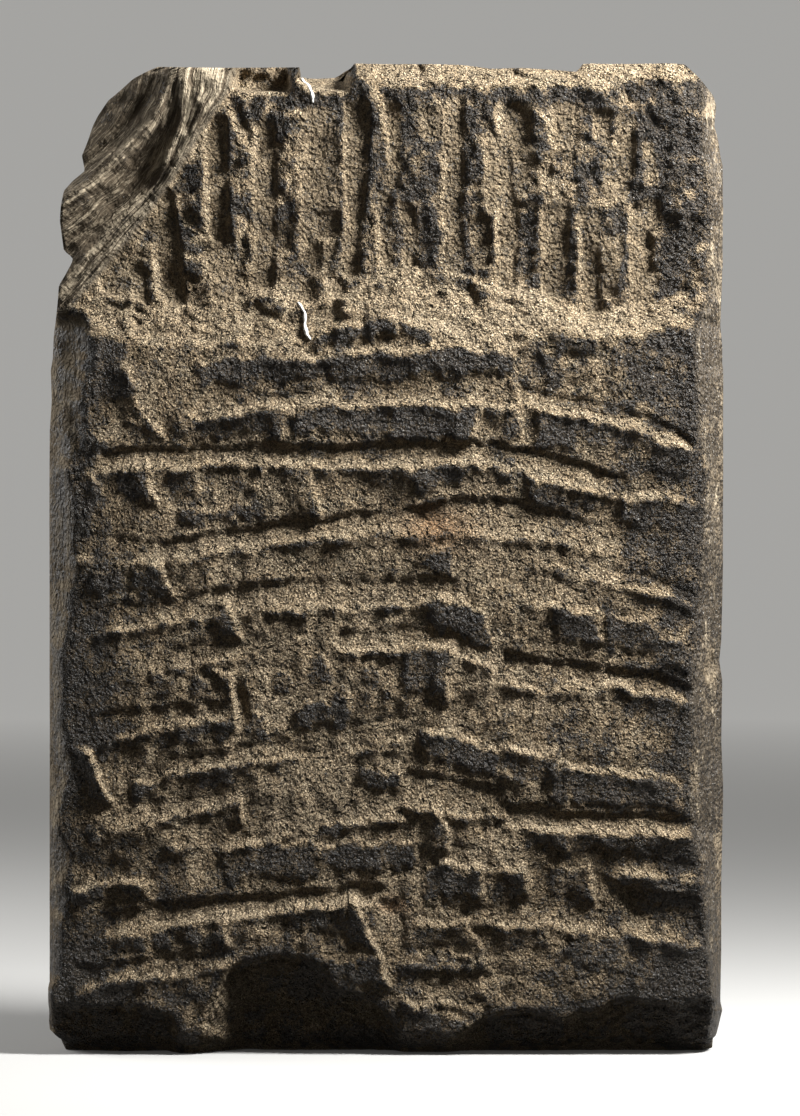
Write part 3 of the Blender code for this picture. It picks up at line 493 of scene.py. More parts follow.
def carveFace(across, down):
    # for each pixel place on the face: depth in mm behind the front plane, how bare the stone is (with
    # painted shade added in the corner's hollows and partly in the strokes), where the corner is broken, the
    # place across its ridges, and how far it lies in the hollows between them and in the strokes, which the
    # material darkens as painted shade
    v = panelValues
    x = across + 3.0 * fractal(across, down, 34, 3, 11) + 1.2 * fractal(across, down, 8, 2, 13)
    y = down + 2.2 * fractal(across, down, 30, 3, 23) + 2.2 * fractal(across, down * 0.5, 11, 2, 29)
    broad = fractal(across, down, 75, 3, 5)
    facets = chips(x + 0.5 * y, y - 0.2 * x, 21, 301) * 0.7 + chips(x, y, 12, 331) * 0.35
    bareAndShading = np.zeros_like(across)
    # lower part
    ground = v["lowerGround"] + v["unevenness"] * broad
    lower = carveFurrows(x, y, ground)
    lower, bareAndShading = raiseBlocks(x, y, lower, bareAndShading)
    lower = raiseScarps(x, y, lower)
    scar = cutFlakes(across + 0.4 * (x - across), down + 0.5 * (y - down))
    broken = smooth(scar / 3)
    # upper part
    upper = v["upperRecess"] + 1.2 * fractal(across, down, 60, 3, 41)
    ribs = 0.9 * chips(x + 0.3 * y, y * 0.7, 19, 481) + 0.7 * chips(x, y * 0.8, 9, 491)
    cut, tooled = cutGouges(across + 0.38 * (x - across), down + 0.3 * (y - down))
    cut = cut * np.clip(0.9 + 0.25 * fractal(across, down * 0.6, 24, 2, 45), 0.5, 1.2)
    fibre = 0.9 * fractal(x, y * 0.3, 17, 3, 43)
    upper = upper + cut + 1.2 * (ribs + fibre) * (1 - 0.92 * tooled)
    share = np.clip((y - lineAt(ledgeTop, x)) / (lineAt(ledgeFoot, x) - lineAt(ledgeTop, x)), 0, 1)
    shelf = smooth(share * 4) * smooth((1 - share) * 4)
    face = upper * (1 - share) + lower * share + 1.6 * share * np.clip((140 - x) / 70, 0, 1.3) ** 1.5
    large, small = chips(x + 0.5 * y, y * 1.5, 36, 501), chips(x - y, y * 1.4, 15, 511)
    face = face - shelf * (2.0 * np.maximum(large, -0.2) + 1.5 * np.maximum(small, -0.1) - 0.6)
    brim = np.exp(-((y - lineAt(ledgeTop, x) - 5) / 5) ** 2)
    face = face - 1.3 * brim * np.clip(0.6 + 0.7 * fractal(x, y * 0, 17, 3, 521), 0, 1.2)
    for x0, y0, x1, y1, height, half in crests:
        away = fromSegment(x, y, x0, y0, x1, y1) / half
        face = face - v["crestHeight"] * height * np.exp(-away ** 1.6)
    for *oval, deep in pits:
        face = face + v["pitDepth"] * deep * smooth(inOval(x, y, *oval))
    # bare stone on the upper part
    ragged = 1.1 * fractal(x, y, 14, 4, 171, fade=0.65)
    for oval in barePatches:
        bareAndShading = np.maximum(bareAndShading, 0.88 * smooth((inOval(x, y, *oval) + ragged) / 0.8))
    below = y - lineAt(topArris, x)
    rim = smooth((below + 4) / 6) * smooth((30 - below + 14 * fractal(x, y, 18, 3, 181)) / 16)
    bareAndShading = np.maximum(bareAndShading, v["rimBare"] * rim)
    patchy = 0.22 + 0.30 * fractal(across, down, 46, 2, 601) + 0.26 * fractal(across, down * 0.7, 15, 3, 611)
    # the colour is made darker towards the left and right sides and the lower corners, and lighter in the
    # middle of the lower part
    edgeDarkening = v["darkerLeft"] * smooth((150 - x) / 80) * share
    edgeDarkening = edgeDarkening + v["darkerRight"] * smooth((x - 600) / 80) * (0.6 + 0.4 * share)
    corners = smooth((260 - x) / 160) + smooth((x - 540) / 100)
    edgeDarkening = edgeDarkening + v["darkerFoot"] * smooth((y - 880) / 110) * corners
    middle = v["lighterMiddle"] * np.exp(-((x - 355) / 140) ** 2 - ((y - 700) / 170) ** 2)
    bareAndShading = np.maximum(bareAndShading, patchy + (0.28 - 0.16 * smooth((450 - x) / 150)) * (1 - share) + edgeDarkening - middle)
    # stroke floors get browner dust and some dark stone, partly as painted shade in the grooves; they also
    # feed the painted shade of hollows
    swept = 0.97 * smooth(tooled * 2.2) * (1 - share)
    bareAndShading = bareAndShading * (1 - swept) + v["sweptWearAndShade"] * swept - v["ledgeDust"] * shelf * smooth((640 - x) / 90)
    # grain of the hand work: worn stone is smoother than the pecked ground
    rough = 1 - 0.55 * bareAndShading
    marks = pecks(x, y, 10, 401) * 0.4 + pecks(x + 31, y * 0.7, 15, 431) * 0.5
    lean = 0.4 * fractal(x + 0.9 * y, (y - 0.9 * x) * 0.35, 7, 2, 451)
    lean = lean + 0.6 * fractal(x + 0.15 * y, y * 0.28, 10, 3, 461)
    plain = (1 - broken) * (1 - 0.9 * tooled * (1 - share))
    worked = v["chipHeight"] * facets + v["peckDepth"] * marks + v["grainHeight"] * lean
    face = face + rough * worked * plain
    ripple = 0.7 * np.sin(0.55 * scar * 6.3 + 3 * fractal(x, y, 40, 2, 475))
    ripple = ripple + 0.6 * np.abs(fractal(x + y, 0.3 * y, 22, 3, 477))
    shards = 2.0 * chips(x + 0.4 * y, y, 34, 471) + 1.1 * chips(x, y, 14, 473) + ripple
    face = face + scar + shards * broken
    face, corner, bend, sunk = breakCorner(across, down, face)
    # in the broken corner the stone is made darker the deeper its hollows lie: painted shade
    bareAndShading = bareAndShading * (1 - corner) + corner * (0.16 + 0.22 * sunk + 0.35 * fractal(across, down, 40, 3, 195))
    bareAndShading = bareAndShading * (1 - broken) + broken * (0.62 + 0.5 * fractal(x, y, 26, 4, 191))
    face = fallToEdges(across, down, face, corner)
    return np.maximum(face, 0.0), bareAndShading, corner, bend, np.maximum(sunk, swept * (1 - corner))

# the stone's skin: one closed mesh

shellValues = dict(
    columns=220,        # quads across the face, divisible by 4
    rows=320,           # quads down the face, divisible by 4
    fineRings=8,        # rings of full fineness behind the face's outline
    coarseRings=18,     # rings of half fineness from there to the back
    fineDepth=0.013,    # metres of the sides that the fine rings cover
    edgeLeft=48.0,      # pixels of the photograph at the slab's left side, right side, top and foot
    edgeRight=726.0,
    edgeTop=58.5,
    edgeFoot=1056.0,
    sideWave=0.0024,    # metres of the broad hollows in the sides
    layerStep=0.0011,   # metres of the steps between the stone's layers
    rearRound=0.006,    # metres by which the rear edges are rounded
    rearMarks=0.0014,   # metres of the tool marks on the rear
    margin=0.0001,      # metres kept inside the solid's box
    seenFrom=2.2,       # metres from the photograph's lens to the front plane
    middleAcross=400.0,  # pixels of the photograph's middle
    middleDown=558.0,
    pixel=0.00041,      # metres to a pixel at the front plane
    proudBare=0.70,     # how much dark stone shows on what stands proud
    keyLitFlankPaint=0.50,     # painted light: how much paler the colour is made on what faces right, towards the key light
    upwardDustAndLight=0.75,     # how much less dark stone shows on what faces up: dust settles there, and this partly paints the light on upward faces
    hollowDust=0.30,    # and in hollows
)


def facePlace(u, v):
    # pixel place of a face point: u runs from the left outline to the right one, v from the top to the foot
    s = shellValues
    down = s["edgeTop"] + v * (s["edgeFoot"] - s["edgeTop"])
    across = lineBeside(leftLine, down) * (1 - u) + lineBeside(rightLine, down) * u
    nearTop, nearFoot = np.clip(1 - v * 14, 0, 1), np.clip(1 - (1 - v) * 14, 0, 1)
    down = down + nearTop * (lineAt(topLine, across) - s["edgeTop"])
    down = down + nearFoot * (lineAt(footLine, across) - s["edgeFoot"])
    across = lineBeside(leftLine, down) * (1 - u) + lineBeside(rightLine, down) * u
    return across, down


def toSpace(across, down, low, high):
    # pixels to metres: the outline's extremes fall on the solid's box
    s = shellValues
    x = low[0] + (across - s["edgeLeft"]) / (s["edgeRight"] - s["edgeLeft"]) * (high[0] - low[0])
    z = low[2] + (s["edgeFoot"] - down) / (s["edgeFoot"] - s["edgeTop"]) * (high[2] - low[2])
    return x, z


def setOut(across, down, depth):
    # what lies deeper is seen smaller, so it is set further out from the photograph's middle, by its share of
    # the distance to the lens
    s = shellValues
    further = 0.001 * depth / s["seenFrom"]
    return across + (across - s["middleAcross"]) * further, down + (down - s["middleDown"]) * further


def drawnIn(x, z, low, high, inset):
    # moves a place towards the middle of the slab by the inset
    middleX, middleZ = (low[0] + high[0]) / 2, (low[2] + high[2]) / 2
    x = middleX + (x - middleX) * (1 - inset / ((high[0] - low[0]) / 2))
    return x, middleZ + (z - middleZ) * (1 - inset / ((high[2] - low[2]) / 2))


def blurred(grid, reach):
    # the mean over a square of the given reach, by running sums along both axes
    for axis in (0, 1):
        pad = [(0, 0), (0, 0)]
        pad[axis] = (reach + 1, reach)
        sums = np.cumsum(np.pad(grid, pad, mode="edge"), axis=axis)
        count = grid.shape[axis]
        grid = (np.take(sums, range(2 * reach + 1, 2 * reach + 1 + count), axis)
                - np.take(sums, range(count), axis)) / (2 * reach + 1)
    return grid


def gridQuads(first, rows, columns, outward):
    # quads of a grid of points laid row by row; outward turns them to face the front
    start = first + np.arange(rows)[:, None] * (columns + 1) + np.arange(columns)
    a, b, c, d = start, start + columns + 1, start + columns + 2, start + 1
    order = (a, b, c, d) if outward else (a, d, c, b)
    return np.stack([corner.ravel() for corner in order], axis=1)


def rimOf(first, rows, columns):
    # the grid's border, clockwise from its first point
    top = first + np.arange(columns)
    right = first + columns + np.arange(rows) * (columns + 1)
    foot = first + rows * (columns + 1) + np.arange(columns, 0, -1)
    left = first + np.arange(rows, 0, -1) * (columns + 1)
    return np.concatenate([top, right, foot, left])


def ringQuads(near, far):
    # quads between two loops of the same length
    return np.stack([near, np.roll(near, -1), np.roll(far, -1), far], axis=1)


def ringHalving(fine, coarse):
    # triangles between a loop and one of half as many points
    a, b, c = fine[0::2], fine[1::2], np.roll(fine[0::2], -1)
    nextCoarse = np.roll(coarse, -1)
    return np.concatenate([np.stack([a, b, coarse], 1), np.stack([b, c, nextCoarse], 1),
                           np.stack([b, nextCoarse, coarse], 1)])


def sideRing(rim, behindZ, depth, low, high, backY):
    # the outline carried back to a depth: broad hollows, thin layers along the face's plane, round rear edges
    s = shellValues
    x, y, z = rim.T
    z = z + (behindZ - z) * smooth(depth * 4)
    girth = np.arctan2((z - 0.5 * (low[2] + high[2])) * 0.7, x) * 0.2
    place = y + (backY - y) * depth
    hollows = 0.5 + 0.5 * fractal(girth, place, 0.035, 3, 501)
    wavy = place + 0.004 * fractal(girth, place * 0, 0.05, 2, 521)
    layers = 0.5 + 0.5 * fractal(girth * 0.12, wavy, 0.005, 3, 511)
    grain = 0.5 + 0.5 * fractal(girth, place, 0.006, 2, 531)
    rounding = s["rearRound"] * np.clip(1 - (backY - place) / s["rearRound"], 0, 1) ** 2
    start = smooth(depth * 9)
    inset = start * (s["sideWave"] * hollows + s["layerStep"] * layers + 0.0006 * grain) + rounding
    newX, newZ = drawnIn(x, z, low, high, inset)
    foot = smooth((low[2] + 0.012 - z) / 0.008)
    newZ = newZ * (1 - foot) + (z - 0.012 * smooth(depth * 3.5) + 0.35 * inset) * foot
    return np.stack([newX, place, newZ], axis=1)


def buildStone(low, high):
    # face grid, fine side rings, coarse side rings and a coarse rear grid, sewn into one closed skin
    s = shellValues
    rows, columns = s["rows"], s["columns"]
    row, column = np.mgrid[0:rows + 1, 0:columns + 1]
    across, down = facePlace(column / columns, row / rows)
    depth, bareAndShading, corner, bend, sunk = carveFace(across, down)
    wide, tall = setOut(across, down, depth)
    wide, tall = np.clip(wide, s["edgeLeft"], s["edgeRight"]), np.clip(tall, s["edgeTop"], s["edgeFoot"])
    x, z = toSpace(wide, tall, low, high)
    face = np.stack([x, low[1] + 0.001 * depth, z], axis=2)
    proud = blurred(depth, 5) - depth
    # how far a place lies sunk below its surroundings: the material darkens it as painted shade, and some
    # pale dust is laid there too
    hollowDustAndShade = np.maximum(smooth((depth - blurred(depth, 9) - 0.4) / 3.0), sunk)
    slopeDown, slopeAcross = np.gradient(blurred(depth, 1) / (1000 * s["pixel"]))
    upward = -slopeDown * rows / (s["edgeFoot"] - s["edgeTop"])
    rightward = slopeAcross * columns / (s["edgeRight"] - s["edgeLeft"])
    # painted light: what faces right, towards the key light, gets paler dust, less dark stone and none of the
    # painted shade of hollows
    keyLitFlank = smooth((rightward - 0.12) / 0.45) * (1 - corner) * smooth((668 - across) / 30)
    hollowDustAndShade = hollowDustAndShade * (1 - keyLitFlank)
    bareAndShading = np.maximum(bareAndShading, s["proudBare"] * smooth((proud - 0.1) / 1.4) * (1 - corner))
    bareAndShading = bareAndShading - s["keyLitFlankPaint"] * keyLitFlank
    # what faces up gets pale dust, which settles there and also stands for the painted light on upward faces;
    # hollows gain some pale dust
    bareAndShading = bareAndShading - s["upwardDustAndLight"] * smooth((upward - 0.10) / 0.40) - s["hollowDust"] * hollowDustAndShade
    strip = np.maximum(smooth((lineBeside(leftArris, down) - across) / 8) * smooth((down - 312) / 14),
                       smooth((across - lineBeside(rightArris, down)) / 8))
    layered = np.maximum(corner, strip * np.where(across < 400, 0.6, 0.7))
    # the side strips are darkened through the same mark as well
    hollowDustAndShade = np.maximum(hollowDustAndShade, strip * np.where(across < 400, 0.4, 0.8))
    border = smooth((across - lineBeside(rightArris, down) + 12) / 12)
    border = border * (0.5 + 0.5 * smooth((down - 290) / 60))
    bareAndShading = np.maximum(bareAndShading, border * (0.72 + 0.7 * fractal(across, down * 0.2, 12, 3, 547)))
    rust = np.exp(-(((across - 438) / 34) ** 2 + ((down - 528) / 22) ** 2))
    rust = np.maximum(rust, np.exp(-(((across - 395) / 16) ** 2 + ((down - 905) / 8) ** 2)))
    # split stone shows lines: their place across goes by the ridges on the broken corner, else by the pixels
    lineAcross = s["pixel"] * across + 0.0012 * fractal(across, down, 40, 2, 63)
    lineAcross = corner * bend * 30 * s["pixel"] + (1 - corner) * lineAcross
    points = [face.reshape(-1, 3)]
    marks = [np.stack([bareAndShading, hollowDustAndShade, layered, rust, lineAcross, s["pixel"] * down], axis=2).reshape(-1, 6)]
    faces = [gridQuads(0, rows, columns, True)]
    loop = rimOf(0, rows, columns)
    rim = points[0][loop]
    rimMarks = marks[0][loop]
    behindZ = rim[:, 2].copy()
    behindZ[:columns] = toSpace(0, lineAt(topBehind, across[0, :columns]), low, high)[1]
    count = len(points[0])
    backY = high[1]
    share = s["fineDepth"] / (backY - low[1])
    depths = [share * (k + 1) / s["fineRings"] for k in range(s["fineRings"])]
    depths += [share + (1 - share) * (k + 1) / s["coarseRings"] for k in range(s["coarseRings"] - 1)]
    for k, depthShare in enumerate(depths):
        step = 1 if k < s["fineRings"] else 2
        ring = sideRing(rim[::step], behindZ[::step], depthShare, low, high, backY)
        fresh = np.arange(count, count + len(ring))
        faces.append(ringQuads(loop, fresh) if len(loop) == len(fresh) else ringHalving(loop, fresh))
        sideBare = 0.5 + 0.35 * fractal(ring[:, 2], ring[:, 1] * 3, 0.03, 3, 541)
        fadeIn = smooth(depthShare * 6)
        sideMarks = rimMarks[::step] * (1 - fadeIn)
        sideMarks[:, 0] += fadeIn * sideBare
        sideMarks[:, 2] += 0.45 * fadeIn
        wavy = 0.001 * fractal(ring[:, 0] + ring[:, 2], ring[:, 1], 0.03, 2, 543)
        sideMarks[:, 4] += fadeIn * (ring[:, 1] + wavy)
        sideMarks[:, 5] += fadeIn * (ring[:, 0] - ring[:, 2])
        points.append(ring)
        marks.append(sideMarks)
        loop = fresh
        count += len(ring)
    # rear: a quarter as many points each way, joined to the last ring through its own border
    rearRows, rearColumns = rows // 4, columns // 4
    row, column = np.mgrid[0:rearRows + 1, 0:rearColumns + 1]
    across, down = facePlace(column / rearColumns, row / rearRows)
    x, z = toSpace(across, down, low, high)
    x, z = drawnIn(x, z, low, high, s["rearRound"] + s["sideWave"])
    away = np.minimum(np.minimum(column, rearColumns - column), np.minimum(row, rearRows - row))
    strokes = 0.5 + 0.5 * fractal(x + 0.5 * z, (z - 0.5 * x) * 0.35, 0.022, 3, 551)
    strokes = 0.6 * strokes + 0.4 * pecks(x * 1000, z * 1000, 16.0, 561)
    y = backY - s["rearMarks"] * strokes * smooth(away / 3 + 0.2)
    faces.append(gridQuads(count, rearRows, rearColumns, False))
    faces.append(ringHalving(loop, rimOf(count, rearRows, rearColumns)))
    points.append(np.stack([x, y, z], axis=2).reshape(-1, 3))
    rearMarks = np.zeros((x.size, 6))
    rearMarks[:, 0] = (0.45 + 0.30 * fractal(x, z, 0.05, 3, 571)).ravel()
    marks.append(rearMarks)
    points = np.clip(np.concatenate(points), np.array(low) + s["margin"], np.array(high) - s["margin"])
    return points, faces, np.concatenate(marks)


def meshFrom(name, points, faces):
    # puts whole arrays into a mesh: corners of every face one after another, then where each face starts
    mesh = bpy.data.meshes.new(name)
    corners = np.concatenate([block.ravel() for block in faces]).astype(np.int32)
    sizes = np.concatenate([np.full(len(block), block.shape[1]) for block in faces])
    starts = np.concatenate([[0], np.cumsum(sizes)[:-1]]).astype(np.int32)
    mesh.vertices.add(len(points))
    mesh.vertices.foreach_set("co", points.astype(np.float32).ravel())
    mesh.loops.add(len(corners))
    mesh.loops.foreach_set("vertex_index", corners)
    mesh.polygons.add(len(starts))
    mesh.polygons.foreach_set("loop_start", starts)
    mesh.update(calc_edges=True)
    mesh.validate()
    mesh.shade_smooth()
    piece = bpy.data.objects.new(name, mesh)
    bpy.context.collection.objects.link(piece)
    return piece


# stone material

stoneLook = dict(
    dustAndShading=(0.660, 0.530, 0.362),       # pale tan dust, thick on what faces up; also the painted light on faces turned up and to the right
    dustDeep=(0.370, 0.264, 0.148),   # browner dust on upright faces
    greyDustAndShade=(0.250, 0.192, 0.118),   # dust thinned by the stone under it; also the painted shade in hollows
    paleGrainHighlight=(0.98, 0.82, 0.57),    # its palest grains, partly painted highlights
    pitShade=(0.095, 0.069, 0.043),    # painted shade in the pits of the grain
    rust=(0.300, 0.120, 0.030),
    dark=(0.0105, 0.0086, 0.0064),    # bare stone
    darkPale=(0.070, 0.051, 0.031),   # its paler grains
    paintedGlint=(0.62, 0.60, 0.55),         # painted glints standing for mica and crystals catching the light
    facetSize=0.0044,                 # metres of the chipped facets
    facetDepth=0.0062,
    pitSize=0.0017,                   # metres of the pick's pits
    pitDepth=0.0016,
    grainSize=0.00080,                # metres of the grain
    grainDepth=0.0022,
    speckSize=0.00046,                # metres of the finest grains, seen by colour alone
    layerSize=0.0019,                 # metres from line to line where the stone is split
    layerDepth=0.0032,
    # split stone: pale lines, partly painted highlight on the edges of its layers, over a dark ground, partly
    # painted shade between them
    splitPaleAndHighlight=(0.46, 0.38, 0.265),
    splitDarkAndShade=(0.080, 0.060, 0.038),
)


class Nodes:
    # short hand for a node tree
    def __init__(self, tree):
        self.tree = tree

    def add(self, kind, sockets=(), **settings):
        node = self.tree.nodes.new(kind)
        for key, value in settings.items():
            setattr(node, key, value)
        self.feed(node, sockets)
        return node

    def feed(self, node, sockets):  # a socket takes a value or another node's output
        for key, value in dict(sockets).items():
            socket = node.inputs[key]
            if isinstance(value, bpy.types.NodeSocket):
                self.tree.links.new(value, socket)
            else:
                socket.default_value = value + (1.0,) if socket.type == "RGBA" else value

    def noise(self, where, size, detail=4.0, roughness=0.55):
        made = self.add("ShaderNodeTexNoise", {"Vector": where, "Scale": 1.0 / size, "Detail": detail,
                                               "Roughness": roughness})
        return made.outputs["Fac"]

    def math(self, operation, a, b=0.0):
        return self.add("ShaderNodeMath", {0: a, 1: b}, operation=operation).outputs[0]

    def plus(self, a, b):
        return self.math("ADD", a, b)

    def minus(self, a, b):
        return self.math("SUBTRACT", a, b)

    def times(self, a, b):
        return self.math("MULTIPLY", a, b)

    def mark(self, name):
        return self.add("ShaderNodeAttribute", attribute_name=name).outputs["Fac"]

    def ramp(self, value, low, high, start=0.0, stop=1.0, **settings):
        sockets = {"Value": value, "From Min": low, "From Max": high, "To Min": start, "To Max": stop}
        return self.add("ShaderNodeMapRange", sockets, **settings).outputs["Result"]

    def step(self, value, low, high):
        return self.ramp(value, low, high, interpolation_type="SMOOTHSTEP")

    def mix(self, share, a, b):
        return self.add("ShaderNodeMix", {0: share, 6: a, 7: b}, data_type="RGBA").outputs[2]


def newMaterial(name):  # with its node helper and its shader
    material = bpy.data.materials.new(name)
    material.use_nodes = True
    return material, Nodes(material.node_tree), material.node_tree.nodes["Principled BSDF"]


# what each point of the skin carries for the material
markNames = ("bareAndShading", "hollowDustAndShade", "layered", "rust", "lineAcross", "lineAlong")


def stoneMaterial():
    # dust over dark schist: the bare mark, broken up by noise, says where the dust is worn away; it also
    # carries painted light on faces turned to the key and painted shade, and the hollow mark paints shade
    # into recesses
    look = stoneLook
    material, n, shader = newMaterial("dustedSchistWithPaintedShading")
    where = n.add("ShaderNodeTexCoord").outputs["Object"]
    bareAndShading, hollowDustAndShade, layered, rust, lineAcross, lineAlong = (n.mark(name) for name in markNames)
    broad = n.noise(where, 0.022, 3)
    mottle = n.noise(where, 0.0055, 4, 0.6)
    drawn = n.add("ShaderNodeMapping", {"Vector": where, "Scale": (1.0, 1.0, 0.85)}).outputs["Vector"]
    grain = n.noise(drawn, look["grainSize"], 2.0, 0.6)
    # the slab unfolded onto one plane: its depth is added outwards from the middle, so that flat patterns,
    # which render quickly, cover the sides as well
    apart = n.add("ShaderNodeSeparateXYZ", {"Vector": where}).outputs
    back = n.plus(apart["Y"], 0.035)
    outX = n.times(back, n.ramp(apart["X"], -0.13, 0.13, -0.8, 0.8))
    outZ = n.times(back, n.ramp(apart["Z"], 0.01, 0.39, -0.8, 0.8))
    unfolded = {"X": n.plus(apart["X"], outX), "Y": n.plus(apart["Z"], outZ)}
    flat = n.add("ShaderNodeCombineXYZ", unfolded).outputs[0]
    bent = n.add("ShaderNodeTexNoise", {"Vector": flat, "Scale": 1.0 / 0.006, "Detail": 1.5},
                 noise_dimensions="2D").outputs["Color"]
    bent = n.add("ShaderNodeVectorMath", {0: bent, 1: (0.006, 0.006, 0.0), 2: flat},
                 operation="MULTIPLY_ADD").outputs[0]
    facets = n.add("ShaderNodeTexVoronoi", {"Vector": bent, "Scale": 1.0 / look["facetSize"]},
                   feature="DISTANCE_TO_EDGE", voronoi_dimensions="2D").outputs["Distance"]
    pits = n.add("ShaderNodeTexVoronoi", {"Vector": flat, "Scale": 1.0 / look["pitSize"]},
                 voronoi_dimensions="2D").outputs["Distance"]
    lines = n.add("ShaderNodeCombineXYZ", {"X": lineAcross, "Y": n.times(lineAlong, 0.10)}).outputs[0]
    layers = n.add("ShaderNodeTexNoise", {"Vector": lines, "Scale": 1.0 / look["layerSize"], "Detail": 4.0,
                                          "Roughness": 0.66}, noise_dimensions="2D").outputs["Fac"]
    speck = n.noise(where, look["speckSize"], 2, 0.7)
    height = n.plus(n.times(grain, 0.75), n.times(mottle, 0.25))
    low = n.step(height, 0.42, 0.55)
    wornAndShading = n.plus(bareAndShading, n.times(n.minus(mottle, 0.5), 1.8))
    wornAndShading = n.plus(wornAndShading, n.times(n.minus(grain, 0.5), 2.2))
    wornAndShading = n.step(wornAndShading, 0.40, 0.64)
    lyingAndLit = n.plus(bareAndShading, n.times(n.minus(broad, 0.5), 0.8))
    dustAndShading = n.mix(n.step(lyingAndLit, -0.50, 0.22), look["dustAndShading"], look["dustDeep"])
    thin, bright = n.step(mottle, 0.45, 0.62), n.step(speck, 0.50, 0.66)
    # painted shade: where the grain or the finest speck lies low, the dust is darkened as if shadowed in its
    # pits
    pitShadeMask = n.minus(1.0, n.times(low, n.step(speck, 0.32, 0.46)))
    # palest grains: pale dust grains, partly painted highlights
    for share, most, tint in ((thin, 0.85, "greyDustAndShade"), (bright, 0.75, "paleGrainHighlight"),
                              # hollows: painted shade
                              (hollowDustAndShade, 0.70, "greyDustAndShade"), (rust, 0.55, "rust"),
                              # split stone: dark, partly painted shade between its layers
                              (pitShadeMask, 0.82, "pitShade"), (layered, 0.9, "splitDarkAndShade")):
        dustAndShading = n.mix(n.times(share, most), dustAndShading, look[tint])
    # pale lines on split stone: partly painted highlight on the edges of its layers
    splitHighlight = n.step(n.minus(layers, n.times(hollowDustAndShade, 0.20)), 0.40, 0.54)
    strand = n.minus(0.05, n.math("ABSOLUTE", n.minus(layers, 0.5)))
    splitHighlight = n.times(layered, n.math("MAXIMUM", splitHighlight, n.times(n.step(strand, 0.0, 0.04), 0.45)))
    dustAndShading = n.mix(splitHighlight, dustAndShading, look["splitPaleAndHighlight"])
    wornAndShading = n.times(wornAndShading, n.minus(1.0, n.times(splitHighlight, 0.7)))
    dark = n.mix(n.step(speck, 0.42, 0.62), look["dark"], look["darkPale"])
    # painted glints of mica and crystals on the bare stone
    dark = n.mix(n.times(n.step(n.noise(where, 0.0007, 1, 0.5), 0.68, 0.74), 0.6), dark, look["paintedGlint"])
    normal = n.add("ShaderNodeBump", {"Height": n.times(layers, layered), "Strength": 1.0,
                                      "Distance": look["layerDepth"]}).outputs["Normal"]
    plain = n.times(n.minus(1.0, n.times(layered, 0.82)), n.minus(1.0, n.times(hollowDustAndShade, 0.3)))
    for height, depth in ((facets, "facetDepth"), (pits, "pitDepth"), (grain, "grainDepth")):
        normal = n.add("ShaderNodeBump", {"Height": height, "Strength": plain, "Distance": look[depth],
                                          "Normal": normal}).outputs["Normal"]
    n.feed(shader, {"Base Color": n.mix(wornAndShading, dustAndShading, dark), "Roughness": n.minus(0.93, n.times(wornAndShading, 0.42)),
                    "Specular IOR Level": 0.30, "Normal": normal})
    return material


def dressStone():
    low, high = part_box("stone_panel")
    points, faces, marks = buildStone(tuple(low), tuple(high))
    stone = meshFrom("carvedStone", points, faces)
    for name, values in zip(markNames, marks.T):
        mark = stone.data.attributes.new(name, "FLOAT", "POINT")
        mark.data.foreach_set("value", values.astype(np.float32))
    stone.data.materials.append(stoneMaterial())
    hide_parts("stone_panel")
    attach(stone, "root")
    triangles = sum(len(block) * (block.shape[1] - 2) for block in faces)
    print("stone skin:", len(points), "points,", triangles, "triangles")


dressStone()


# two set drips of white lime

dripValues = dict(
    radius=0.0007,
    proud=0.35,         # mm by which the middle line stands off the stone
    around=8,           # points round a drip's section
    steps=40,           # sections along it
    white=(0.80, 0.79, 0.75),
)

drips = [  # middle lines in pixels of the photograph
    "303,77 304,80 309,84 313,92 314,102",
    "299,301 301,304 306,312 306,325 308,334 312,339",
]


